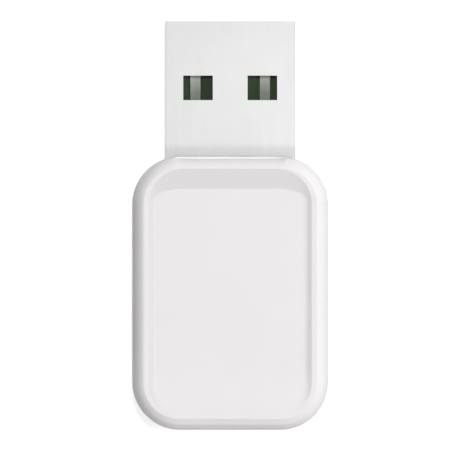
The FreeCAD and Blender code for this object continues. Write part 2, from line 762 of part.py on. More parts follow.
def shield_can():
    """Folded tin box open to the board, with vent holes and a notched lower edge."""
    corner = (SHIELD_CORNER_RADIUS, SHIELD_CORNER_RADIUS)
    half_width = SHIELD_WIDTH / 2
    half_length = (SHIELD_FRONT_Y - SHIELD_BACK_Y) / 2
    outside = rounded_outline(half_width, -half_length, half_length, 0.0, corner, corner)
    can = prism(outside, SHIELD_HEIGHT)
    can = can.makeChamfer(SHIELD_EDGE_CHAMFER, edges_at(can, SHIELD_HEIGHT))
    inner_radius = SHIELD_CORNER_RADIUS - SHIELD_SHEET
    inner_corner = (inner_radius, inner_radius)
    inner_length = half_length - SHIELD_SHEET
    inside = rounded_outline(
        half_width - SHIELD_SHEET,
        -inner_length,
        inner_length,
        0.0,
        inner_corner,
        inner_corner,
    )
    cut_out = [prism(inside, SHIELD_HEIGHT - SHIELD_SHEET)]
    for index in range(SHIELD_VENTS):
        x = (index - (SHIELD_VENTS - 1) / 2) * SHIELD_VENT_PITCH
        cut_out.append(post(SHIELD_VENT_RADIUS, x, 0.0, 0.0, SHIELD_HEIGHT))
    cut_out += shield_notches(half_width, half_length)
    return can.cut(cut_out)


def shield_notches(half_width, half_length):
    """Evenly spaced notches in the lower edge of the shield's four walls."""
    level = (0.0, SHIELD_NOTCH_HEIGHT)
    notches = []
    for half, other, turned in ((half_width, half_length, False), (half_length, half_width, True)):
        straight = 2 * (half - SHIELD_CORNER_RADIUS)
        count = int((straight - SHIELD_NOTCH_WIDTH) // SHIELD_NOTCH_PITCH) + 1
        for index in range(count):
            middle = (index - (count - 1) / 2) * SHIELD_NOTCH_PITCH
            span = (middle - SHIELD_NOTCH_WIDTH / 2, middle + SHIELD_NOTCH_WIDTH / 2)
            through = (-other, other)
            pair = (through, span) if turned else (span, through)
            notches.append(block(pair[0], pair[1], level))
    return notches


def group(shape, top_places, under_places):
    """Like parts as the separate solids of one group, above and below the board."""
    solids = [on_board(shape, place) for place in top_places]
    solids += [under_board(shape, place) for place in under_places]
    return Part.makeCompound(solids)


def radio_pieces():
    """The radio under its shield, and what leads from it to the antenna."""
    chip = leadless_chip(RADIO_CHIP_SIZE, RADIO_CHIP_PADS_PER_SIDE)
    antenna = two_ended(ANTENNA, LARGE_END)
    capacitor = two_ended(SMALL_CAPACITOR, SMALL_END)
    matching = [before(BOARD_BACK_Y, place) for place in MATCHING_PARTS]
    return {
        "shield_can": on_board(shield_can(), (0.0, SHIELD_MIDDLE_Y, ACROSS)),
        "radio_chip": on_board(chip, (RADIO_CHIP_X, SHIELD_MIDDLE_Y, ACROSS)),
        "radio_crystal": on_board(crystal(), behind(SHIELD_FRONT_Y, CRYSTAL_PLACE)),
        "antenna_matching_parts": group(capacitor, matching, []),
        "chip_antenna": on_board(antenna, before(BOARD_BACK_Y, ANTENNA_PLACE)),
    }


def supply_pieces():
    """The plug's interface chip, and the parts that guard and smooth the supply."""
    bridge = leadless_chip(BRIDGE_CHIP_SIZE, BRIDGE_CHIP_PADS_PER_SIDE)
    regulator = leaded_package((-1, 0, 1), (-1, 1))
    protector = leaded_package((-1, 0, 1), (-1, 0, 1))
    large_capacitor = two_ended(LARGE_CAPACITOR, LARGE_END)
    large_places = [behind(SHOULDER_Y, place) for place in LARGE_CAPACITOR_PLACES]
    return {
        "bridge_chip": under_board(bridge, behind(SHOULDER_Y, BRIDGE_CHIP_PLACE)),
        "voltage_regulator": on_board(regulator, behind(SHOULDER_Y, REGULATOR_PLACE)),
        "surge_protector": on_board(protector, behind(SHOULDER_Y, PROTECTOR_PLACE)),
        "resettable_fuse": on_board(two_ended(FUSE, LARGE_END), behind(SHOULDER_Y, FUSE_PLACE)),
        "supply_ferrite": on_board(two_ended(FERRITE, SMALL_END), behind(SHOULDER_Y, FERRITE_PLACE)),
        "bulk_capacitors": group(large_capacitor, [], large_places),
    }


def small_pieces():
    """The small capacitors and resistors round the chips, on both faces of the board."""
    top_capacitors = [behind(SHOULDER_Y, place) for place in TOP_CAPACITORS]
    top_capacitors += [before(SHIELD_BACK_Y, place) for place in SHIELDED_CAPACITORS]
    under_capacitors = [behind(SHOULDER_Y, place) for place in UNDER_CAPACITORS]
    top_resistors = [behind(SHOULDER_Y, place) for place in TOP_RESISTORS]
    under_resistors = [behind(SHOULDER_Y, place) for place in UNDER_RESISTORS]
    capacitor = two_ended(SMALL_CAPACITOR, SMALL_END)
    resistor = two_ended(SMALL_RESISTOR, SMALL_END)
    return {
        "decoupling_capacitors": group(capacitor, top_capacitors, under_capacitors),
        "resistors": group(resistor, top_resistors, under_resistors),
    }


def contacts():
    """The four contact strips, from the supply's to the ground's."""
    outer = (OUTER_CONTACT_WIDTH, OUTER_CONTACT_FROM_TIP)
    inner = (INNER_CONTACT_WIDTH, INNER_CONTACT_FROM_TIP)
    return {
        "contact_power": contact(-OUTER_CONTACT_OFFSET, *outer),
        "contact_data_minus": contact(-INNER_CONTACT_OFFSET, *inner),
        "contact_data_plus": contact(INNER_CONTACT_OFFSET, *inner),
        "contact_ground": contact(OUTER_CONTACT_OFFSET, *outer),
    }


def pieces():
    """Every piece of the stick by its name."""
    return {
        "top_cover": top_cover(),
        "bottom_cover": bottom_cover(),
        "plug_shell": plug_shell(),
        "tongue_carrier": tongue_carrier(),
        "circuit_board": circuit_board(),
        **contacts(),
        **radio_pieces(),
        **supply_pieces(),
        **small_pieces(),
    }


os.makedirs("parts", exist_ok=True)
for name, piece in pieces().items():
    piece.exportStep(f"parts/{name}.step")
    print(name, len(piece.Solids), round(piece.Volume, 3), piece.isValid())
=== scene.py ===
# Studio scene of a short white radio stick with a USB type A plug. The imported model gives
# every place and the overall sizes. Lengths are in metres, with X across the stick, Y along
# it towards the plug's tip and Z up out of its dished face.

import json
import logging
import math
from collections.abc import Callable, Iterable
from dataclasses import dataclass, field
from enum import Enum

import bmesh
import bpy
import numpy as np
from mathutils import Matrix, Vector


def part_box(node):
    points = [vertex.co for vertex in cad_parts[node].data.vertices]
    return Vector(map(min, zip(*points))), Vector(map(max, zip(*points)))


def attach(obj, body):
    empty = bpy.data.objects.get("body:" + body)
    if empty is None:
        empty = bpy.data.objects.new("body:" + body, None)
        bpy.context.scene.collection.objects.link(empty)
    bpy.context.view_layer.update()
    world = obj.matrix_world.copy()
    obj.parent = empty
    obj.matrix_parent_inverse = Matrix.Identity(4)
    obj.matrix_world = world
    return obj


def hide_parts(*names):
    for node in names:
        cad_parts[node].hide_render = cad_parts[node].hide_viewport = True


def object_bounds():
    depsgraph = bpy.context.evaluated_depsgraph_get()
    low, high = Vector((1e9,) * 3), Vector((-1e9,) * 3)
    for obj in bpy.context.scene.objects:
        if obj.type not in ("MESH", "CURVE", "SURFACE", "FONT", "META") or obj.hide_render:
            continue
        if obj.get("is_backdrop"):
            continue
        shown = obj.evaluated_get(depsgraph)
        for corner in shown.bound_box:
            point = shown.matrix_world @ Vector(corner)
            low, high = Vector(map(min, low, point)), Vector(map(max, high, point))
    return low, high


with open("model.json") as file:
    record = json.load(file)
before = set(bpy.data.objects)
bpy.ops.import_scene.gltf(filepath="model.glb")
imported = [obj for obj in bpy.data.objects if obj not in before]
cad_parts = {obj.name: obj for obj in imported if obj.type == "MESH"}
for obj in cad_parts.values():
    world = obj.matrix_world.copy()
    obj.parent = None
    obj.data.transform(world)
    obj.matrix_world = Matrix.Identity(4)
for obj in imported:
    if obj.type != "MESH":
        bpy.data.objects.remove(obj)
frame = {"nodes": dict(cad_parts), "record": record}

LOG = logging.getLogger("radio_stick")
MM = 0.001
BODY = "root"
WHITE = (1.0, 1.0, 1.0)
Colour = tuple[float, float, float]
Pair = tuple[float, float]
Piece = bpy.types.Object
Socket = bpy.types.NodeSocket
Value = Socket | float | Colour


@dataclass(frozen=True)
class Lattice:
    """Steps that each ring of points takes along its straight sides and half corners."""

    across: int = 40
    along: int = 60
    half_corner: int = 16

    @property
    def columns(self) -> int:
        """Steps from the middle of one front corner to the middle of the other."""
        return self.across + 2 * self.half_corner

    @property
    def rows(self) -> int:
        """Steps from the middle of a front corner to the middle of the one behind it."""
        return self.along + 2 * self.half_corner

    def cap_indices(self) -> np.ndarray:
        """Ring index of each point on the edge of a cap that closes a ring.

        Returns:
            Whole numbers of shape (rows + 1, columns + 1), with -1 inside the edge.
        """
        ring = np.arange(2 * (self.columns + self.rows) + 1)
        ring[-1] = 0
        front, right, back, left = np.split(
            ring[:-1], [self.columns, self.columns + self.rows, 2 * self.columns + self.rows]
        )
        cap = np.full((self.rows + 1, self.columns + 1), -1)
        cap[0, :-1] = front
        cap[:-1, -1] = right
        cap[-1, :0:-1] = back
        cap[:0:-1, 0] = left
        return cap


def arc(centre: Pair, reach: Pair, start: float, stop: float, steps: int) -> np.ndarray:
    """Points on an ellipse, each the centre plus (reach x cos a, reach y sin a).

    Args:
        centre: Middle of the ellipse.
        reach: Its half sizes along X and Y.
        start: First angle a, in degrees.
        stop: Angle before which the points end.
        steps: Number of points.

    Returns:
        Array of shape (steps, 2).
    """
    angle = np.radians(np.linspace(start, stop, steps, endpoint=False))
    return np.stack([centre[0] + reach[0] * np.cos(angle), centre[1] + reach[1] * np.sin(angle)], 1)


def straight(start: Pair, stop: Pair, steps: int) -> np.ndarray:
    """Evenly spaced points from start up to, but without, stop.

    Args:
        start: First point.
        stop: Point before which they end.
        steps: Number of points.

    Returns:
        Array of shape (steps, 2).
    """
    share = np.linspace(0.0, 1.0, steps, endpoint=False)[:, None]
    return (1.0 - share) * np.array(start) + share * np.array(stop)


@dataclass(frozen=True)
class Outline:
    """Rounded rectangle in plan, centred across, whose corners are quarter ellipses.

    Each corner is given as its reach across the stick and along it.
    """

    half_width: float
    back: float
    front: float
    back_corner: Pair
    front_corner: Pair

    def inset(self, distance: float) -> "Outline":
        """The parallel outline inside this one.

        Args:
            distance: How far inside it lies.

        Returns:
            The outline, each of whose corners reaches less far by the distance.
        """
        return Outline(
            self.half_width - distance,
            self.back + distance,
            self.front - distance,
            (self.back_corner[0] - distance, self.back_corner[1] - distance),
            (self.front_corner[0] - distance, self.front_corner[1] - distance),
        )

    def holds(self, plan: np.ndarray) -> np.ndarray:
        """Whether points lie inside, if every corner were as round as the back ones.

        Measured from the straight rectangle that the corner centres make, a point inside is
        nearer than the corner radius.

        Args:
            plan: Plan points, of shape (count, 2).

        Returns:
            True or false for each point.
        """
        radius = self.back_corner[0]
        over_x = np.abs(plan[:, 0]) - (self.half_width - radius)
        over_y = np.maximum(plan[:, 1] - (self.front - radius), (self.back + radius) - plan[:, 1])
        return np.hypot(np.maximum(over_x, 0.0), np.maximum(over_y, 0.0)) < radius

    def points(self, lattice: Lattice) -> np.ndarray:
        """Points round the outline, clockwise from the middle of its front left corner.

        Each side is half a corner, a straight run and half a corner.

        Args:
            lattice: Number of steps in each part.

        Returns:
            Array of shape (ring length, 2).
        """
        fx, fy = self.front_corner
        bx, by = self.back_corner
        half = lattice.half_corner
        left, right = -self.half_width, self.half_width
        front_left = (left + fx, self.front - fy)
        front_right = (right - fx, self.front - fy)
        back_right = (right - bx, self.back + by)
        back_left = (left + bx, self.back + by)
        return np.concatenate(
            [
                arc(front_left, (fx, fy), 135, 90, half),
                straight((left + fx, self.front), (right - fx, self.front), lattice.across),
                arc(front_right, (fx, fy), 90, 0, 2 * half),
                straight((right, self.front - fy), (right, self.back + by), lattice.along),
                arc(back_right, (bx, by), 0, -90, 2 * half),
                straight((right - bx, self.back), (left + bx, self.back), lattice.across),
                arc(back_left, (bx, by), -90, -180, 2 * half),
                straight((left, self.back + by), (left, self.front - fy), lattice.along),
                arc(front_left, (fx, fy), 180, 135, half),
            ]
        )


def level(points: np.ndarray, height: float | np.ndarray) -> np.ndarray:
    """Plan points lifted to a height, one for all or one for each."""
    return np.column_stack([points, np.broadcast_to(height, len(points))])


def between_sides(cap: np.ndarray, edge: np.ndarray) -> np.ndarray:
    """Plan points of a cap, blended between its four sides.

    Each point is the blend from front to back plus the blend from left to right, less the
    blend of the four corners, so that the grid meets every side exactly.

    Args:
        cap: Ring index of each edge point, with -1 inside.
        edge: Plan points of the ring.

    Returns:
        Array of shape (rows + 1, columns + 1, 2).
    """
    rows, columns = cap.shape
    v = np.linspace(0.0, 1.0, rows)[:, None, None]
    u = np.linspace(0.0, 1.0, columns)[None, :, None]
    front, back = edge[cap[0]][None], edge[cap[-1]][None]
    left, right = edge[cap[:, 0]][:, None], edge[cap[:, -1]][:, None]
    corners = (1 - u) * ((1 - v) * front[:, :1] + v * back[:, :1])
    corners = corners + u * ((1 - v) * front[:, -1:] + v * back[:, -1:])
    return (1 - v) * front + v * back + (1 - u) * left + u * right - corners


def quads_of(grid: np.ndarray) -> np.ndarray:
    """Four-sided faces of a grid of vertex numbers, as an array of shape (faces, 4)."""
    return np.stack([grid[:-1, :-1], grid[:-1, 1:], grid[1:, 1:], grid[1:, :-1]], -1).reshape(-1, 4)


def enclosed_volume(points: np.ndarray, faces: np.ndarray) -> float:
    """Volume inside closed faces: the sum of a . (b x c) / 6 over their triangles.

    Args:
        points: Vertices, of shape (count, 3).
        faces: Vertex numbers, of shape (faces, 4).

    Returns:
        The volume, negative where the faces point inwards.
    """
    a, b, c, d = (points[faces[:, corner]] for corner in range(4))
    halves = np.einsum("ij,ij->", a, np.cross(b, c)) + np.einsum("ij,ij->", a, np.cross(c, d))
    return float(halves) / 6.0


def placed(name: str, data: bpy.types.ID) -> Piece:
    """New object in the scene, at the origin.

    Args:
        name: The object's name.
        data: Its mesh, lamp or camera.

    Returns:
        The object.
    """
    piece = bpy.data.objects.new(name, data)
    bpy.context.scene.collection.objects.link(piece)
    return piece


def mesh_object(name: str, points: np.ndarray, faces: np.ndarray) -> Piece:
    """New object with a mesh of four-sided faces, turned to point outwards.

    Args:
        name: The object's name.
        points: Vertices, of shape (count, 3).
        faces: Vertex numbers, of shape (faces, 4).

    Returns:
        The object.
    """
    if enclosed_volume(points, faces) < 0.0:
        faces = faces[:, ::-1]
    mesh = bpy.data.meshes.new(name)
    mesh.vertices.add(len(points))
    mesh.vertices.foreach_set("co", points.astype(np.float32).ravel())
    mesh.loops.add(faces.size)
    mesh.loops.foreach_set("vertex_index", faces.astype(np.int32).ravel())
    mesh.polygons.add(len(faces))
    mesh.polygons.foreach_set("loop_start", np.arange(0, faces.size, 4, dtype=np.int32))
    mesh.update(calc_edges=True)
    return placed(name, mesh)


def closed_skin(
    name: str,
    rings: list[np.ndarray],
    lattice: Lattice,
    cap_height: Callable[[np.ndarray], np.ndarray],
) -> Piece:
    """Closed surface: rings joined in their order, with a grid over the first and the last.

    Args:
        name: The object's name.
        rings: Rings of points, each of shape (ring length, 3).
        lattice: Steps of the rings.
        cap_height: Height of the last cap at its plan points. The first cap is level.

    Returns:
        The object.
    """
    tube = np.stack(rings)
    count, length, _ = tube.shape
    numbers = np.arange(count * length).reshape(count, length)
    faces = [quads_of(np.column_stack([numbers, numbers[:, :1]]))]
    points = [tube.reshape(-1, 3)]
    total = count * length
    cap = lattice.cap_indices()
    inside = cap < 0
    for ring, first in ((0, True), (count - 1, False)):
        plan = between_sides(cap, tube[ring, :, :2])[inside]
        height = np.full(len(plan), tube[ring, 0, 2]) if first else cap_height(plan)
        points.append(np.column_stack([plan, height]))
        grid = numbers[ring][cap]
        grid[inside] = np.arange(total, total + len(plan))
        total += len(plan)
        faces.append(quads_of(grid)[:, ::-1] if first else quads_of(grid))
    return mesh_object(name, np.concatenate(points), np.concatenate(faces))


def prism(name: str, section: np.ndarray, along: np.ndarray) -> Piece:
    """Closed prism with a section of any outline, carried along a vector.

    Args:
        name: The object's name.
        section: Corners of the flat section, of shape (count, 3).
        along: The vector.

    Returns:
        The object, with its two ends closed by single faces.
    """
    count = len(section)
    mesh = bpy.data.meshes.new(name)
    here = np.arange(count)
    following = np.roll(here, -1)
    sides = np.stack([here, following, following + count, here + count], 1)
    ends = [here[::-1].tolist(), (here + count).tolist()]
    mesh.from_pydata(np.concatenate([section, section + along]).tolist(), [], sides.tolist() + ends)
    shell = bmesh.new()
    shell.from_mesh(mesh)
    bmesh.ops.recalc_face_normals(shell, faces=shell.faces)
    shell.to_mesh(mesh)
    shell.free()
    return placed(name, mesh)


def block(name: str, low: Iterable[float], high: Iterable[float]) -> Piece:
    """Closed box between two corners.

    Args:
        name: The object's name.
        low: The lowest corner.
        high: The highest corner.

    Returns:
        The object.
    """
    x0, y0, z0 = low
    x1, y1, z1 = high
    section = np.array([(x0, y0, z0), (x1, y0, z0), (x1, y1, z0), (x0, y1, z0)])
    return prism(name, section, np.array((0.0, 0.0, z1 - z0)))


class Change(Enum):
    """How one solid changes another."""

    ADD = "UNION"
    CUT = "DIFFERENCE"


def reshape(piece: Piece, tools: list[Piece], change: Change) -> None:
    """Adds solids to a piece or cuts them out of it, and removes them afterwards.

    Args:
        piece: The piece that changes.
        tools: Closed solids that don't cross one another.
        change: Whether they are added or cut out.
    """
    joined = bmesh.new()
    for tool in tools:
        joined.from_mesh(tool.data)
        bpy.data.objects.remove(tool)
    mesh = bpy.data.meshes.new("tool")
    joined.to_mesh(mesh)
    joined.free()
    tool = placed("tool", mesh)
    modifier = piece.modifiers.new("change", "BOOLEAN")
    modifier.operation = change.value
    modifier.solver = "EXACT"
    modifier.object = tool
    bpy.context.view_layer.update()
    changed = piece.evaluated_get(bpy.context.evaluated_depsgraph_get())
    result = bpy.data.meshes.new_from_object(changed)
    piece.modifiers.clear()
    piece.data = result
    bpy.data.objects.remove(tool)


def smooth(piece: Piece, crease: float) -> None:
    """Shades a piece smoothly, except along edges that turn by more than crease degrees."""
    piece.data.shade_smooth()
    piece.data.set_sharp_from_angle(angle=math.radians(crease))


class Axis(Enum):
    """Directions in which a finish changes: towards the right, or towards the plug's tip."""

    ACROSS = "X"
    ALONG = "Y"


class Mixing(Enum):
    """What the second colour of a mix does to the first."""

    COVER = "MIX"
    DARKEN = "MULTIPLY"


def feed(socket: Socket, value: Value) -> None:
    """Sets a node's input, or links it to the output that its value comes from.

    Args:
        socket: The input.
        value: A number, a colour or three factors, or another node's output.
    """
    if isinstance(value, Socket):
        socket.id_data.links.new(value, socket)
    elif socket.type == "RGBA":
        socket.default_value = (*value, 1.0)
    else:
        socket.default_value = value


def new_node(
    tree: bpy.types.NodeTree, kind: str, inputs: dict[str | int, Value], **settings: str
) -> bpy.types.Node:
    """Adds a node.

    Args:
        tree: The nodes of a material or of the surround.
        kind: The node's type.
        inputs: Values of its inputs, by their names or numbers.
        **settings: Its other settings.

    Returns:
        The node.
    """
    node = tree.nodes.new(kind)
    for name, setting in settings.items():
        setattr(node, name, setting)
    for key, value in inputs.items():
        feed(node.inputs[key], value)
    return node


class Nodes:
    """A node material under construction, with the few patterns that the finishes share.

    Attributes:
        noise_range: Values between which most of a noise lies.
        mix_inputs: Numbers of a Mix node's inputs for its share and its two colours.
        mix_output: Number of its output for the mixed colour.
    """

    noise_range: Pair = (0.3, 0.7)
    mix_inputs: tuple[int, int, int] = (0, 6, 7)
    mix_output: int = 2

    def __init__(self, name: str) -> None:
        """Starts a material that holds one principled shader.

        Args:
            name: The material's name.
        """
        self.material = bpy.data.materials.new(name)
        self.material.use_nodes = True
        self.tree = self.material.node_tree
        self.shader = self.tree.nodes["Principled BSDF"]
        self.place = self.tree.nodes.new("ShaderNodeTexCoord").outputs["Object"]

    def stretched(self, scale: tuple[float, float, float]) -> Socket:
        """Object coordinates, scaled by a factor for each axis."""
        inputs = {"Vector": self.place, "Scale": scale}
        return new_node(self.tree, "ShaderNodeMapping", inputs).outputs["Vector"]

    def noise(self, size: float, detail: float = 2.0, place: Socket | None = None) -> Socket:
        """Smooth noise.

        Args:
            size: Width of its patches.
            detail: Number of finer layers on top.
            place: Coordinates to read, or none for plain object coordinates.

        Returns:
            The noise from 0 to 1.
        """
        inputs = {"Vector": place or self.place, "Scale": 1.0 / size, "Detail": detail}
        return new_node(self.tree, "ShaderNodeTexNoise", inputs).outputs["Fac"]

    def rescaled(self, value: Socket, source: Pair, target: Pair) -> Socket:
        """A value taken evenly from one range to another, and held within it.

        Args:
            value: The value.
            source: The range it comes from.
            target: The range it is taken to.

        Returns:
            The new value.
        """
        names = ("Value", "From Min", "From Max", "To Min", "To Max")
        inputs = dict(zip(names, (value, *source, *target)))
        return new_node(self.tree, "ShaderNodeMapRange", inputs).outputs["Result"]

    def spread(self, noise: Socket, low: float = 0.0, high: float = 1.0) -> Socket:
        """The middle of a noise's range, stretched to lie between two values."""
        return self.rescaled(noise, self.noise_range, (low, high))

    def ramp(self, axis: Axis, places: Pair) -> Socket:
        """Share that grows evenly along an axis, from 0 at one place to 1 at another."""
        parts = new_node(self.tree, "ShaderNodeSeparateXYZ", {"Vector": self.place}).outputs
        return self.rescaled(parts[axis.value], places, (0.0, 1.0))

    def blend(
        self,
        share: Socket,
        first: Colour | Socket,
        second: Colour | Socket,
        mixing: Mixing = Mixing.COVER,
    ) -> Socket:
        """Mix of two colours.

        Args:
            share: How far the second one acts, from 0 to 1.
            first: The colour that is there without it.
            second: The colour that acts on it.
            mixing: Whether the second covers the first or multiplies it.

        Returns:
            The colour.
        """
        inputs = dict(zip(self.mix_inputs, (share, first, second)))
        settings = {"data_type": "RGBA", "blend_type": mixing.value}
        return new_node(self.tree, "ShaderNodeMix", inputs, **settings).outputs[self.mix_output]

    def attribute(self, name: str) -> Socket:
        """A value that the mesh carries at its points, by the attribute's name."""
        return new_node(self.tree, "ShaderNodeAttribute", {}, attribute_name=name).outputs["Fac"]

    def bump(self, height: Socket, depth: float, under: Socket | None = None) -> Socket:
        """Surface direction tilted by a height pattern.

        Args:
            height: The pattern.
            depth: Height of its full range.
            under: Another tilted direction that it lies on, if any.

        Returns:
            The direction.
        """
        inputs = {"Height": height, "Distance": depth}
        if under is not None:
            inputs["Normal"] = under
        return new_node(self.tree, "ShaderNodeBump", inputs).outputs["Normal"]

    def put(self, **values: Value) -> None:
        """Sets or links the shader's inputs.

        Args:
            **values: Value or pattern of each input, named in small letters with _ for a space.
        """
        for name, value in values.items():
            title = name.replace("_", " ").title().replace("Ior", "IOR")
            feed(self.shader.inputs[title], value)


@dataclass(frozen=True)
class MouldedPlastic:
    """Plastic from a finely eroded mould: faint cloudy colour, even grain, satin gloss."""

    name: str
    colour: Colour
    cloud: Colour
    roughness: Pair
    cloud_size: float = 5.0 * MM
    gloss_size: float = 0.6 * MM
    grain: float = 0.07 * MM
    grain_depth: float = 0.0022 * MM
    refraction: float = 1.49
    # Painted shade that the dish's slopes take, darker than the face
    painted_slope_shade: Colour | None = None

    def material(self) -> bpy.types.Material:
        """Builds the material.

        Returns:
            The material. Where a slope colour is given, the dish's slopes take it as painted shade.
        """
        nodes = Nodes(self.name)
        colour = nodes.blend(nodes.spread(nodes.noise(self.cloud_size)), self.colour, self.cloud)
        if self.painted_slope_shade is not None:
            # Painted shade on the dish's slopes, masked by the mesh's slope attribute
            colour = nodes.blend(nodes.attribute("slope"), colour, self.painted_slope_shade)
        nodes.put(
            base_color=colour,
            roughness=nodes.spread(nodes.noise(self.gloss_size, detail=4.0), *self.roughness),
            ior=self.refraction,
            normal=nodes.bump(nodes.noise(self.grain, detail=3.0), self.grain_depth),
        )
        return nodes.material


@dataclass(frozen=True)
class PaintedShade:
    """Painted shade: even darkening of a skin along one axis, from none at one place to a tone at
    another.
    """

    axis: Axis
    places: Pair
    tone: Colour


@dataclass(frozen=True)
class RolledMetal:
    """Sheet metal with the fine lines of rolling and a slightly uneven plated skin.

    The skin may take painted shade along its axes. A worn skin is partly matt, and bare is
    the share of it that still mirrors.
    """

    name: str
    colour: Colour
    tarnish: Colour
    roughness: Pair
    cloud_size: float = 1.8 * MM
    gloss_size: float = 0.25 * MM
    line_width: float = 0.03 * MM
    line_depth: float = 0.0005 * MM
    line_stretch: float = 0.02
    bare: float = 1.0
    painted_shades: tuple[PaintedShade, ...] = ()

    def material(self) -> bpy.types.Material:
        """Builds the material.

        Returns:
            The material, with its lines along the stick.
        """
        nodes = Nodes(self.name)
        along = nodes.stretched((1.0, self.line_stretch, 1.0))
        clouds = nodes.spread(nodes.noise(self.cloud_size, detail=3.0))
        skin = nodes.blend(clouds, self.colour, self.tarnish)
        # Painted shade along the axes, multiplied into the skin
        for painted_shade in self.painted_shades:
            share = nodes.ramp(painted_shade.axis, painted_shade.places)
            skin = nodes.blend(share, skin, painted_shade.tone, Mixing.DARKEN)
        gloss = nodes.noise(self.gloss_size, detail=4.0, place=along)
        lines = nodes.noise(self.line_width, detail=3.0, place=along)
        nodes.put(
            base_color=skin,
            metallic=self.bare,
            roughness=nodes.spread(gloss, *self.roughness),
            normal=nodes.bump(lines, self.line_depth),
        )
        return nodes.material


@dataclass(frozen=True)
class SolderMask:
    """Glossy lacquer over a woven board, slightly lifted over the copper beneath."""

    name: str
    colour: Colour
    over_copper: Colour
    roughness: Pair = (0.28, 0.4)
    field_size: float = 2.2 * MM
    weave: float = 0.25 * MM
    weave_depth: float = 0.002 * MM
    ripple: float = 0.12 * MM
    ripple_depth: float = 0.001 * MM
    sheen: float = 0.1

    def material(self) -> bpy.types.Material:
        """Builds the material.

        Returns:
            The material, with the weave on the ripples of the lacquer.
        """
        nodes = Nodes(self.name)
        fields = nodes.spread(nodes.noise(self.field_size, detail=1.0))
        threads = nodes.noise(self.weave)
        ripples = nodes.bump(nodes.noise(self.ripple), self.ripple_depth)
        nodes.put(
            base_color=nodes.blend(fields, self.colour, self.over_copper),
            roughness=nodes.spread(threads, *self.roughness),
            specular_ior_level=self.sheen,
            normal=nodes.bump(threads, self.weave_depth, ripples),
        )
        return nodes.material


@dataclass(frozen=True)
class FiredCeramic:
    """Dense fired or moulded compound with fine specks and a dry sheen."""

    name: str
    colour: Colour
    speck: Colour
    roughness: Pair
    speck_size: float = 0.05 * MM
    speck_depth: float = 0.002 * MM
    gloss_size: float = 0.2 * MM

    def material(self) -> bpy.types.Material:
        """Builds the material.

        Returns:
            The material, whose specks differ in colour and in height.
        """
        nodes = Nodes(self.name)
        specks = nodes.noise(self.speck_size, detail=5.0)
        nodes.put(
            base_color=nodes.blend(nodes.spread(specks), self.colour, self.speck),
            roughness=nodes.spread(nodes.noise(self.gloss_size, detail=3.0), *self.roughness),
            normal=nodes.bump(specks, self.speck_depth),
        )
        return nodes.material


Finish = MouldedPlastic | RolledMetal | SolderMask | FiredCeramic


def dress(piece: Piece, material: bpy.types.Material) -> None:
    """Gives the whole piece one material."""
    piece.data.materials.clear()
    piece.data.materials.append(material)


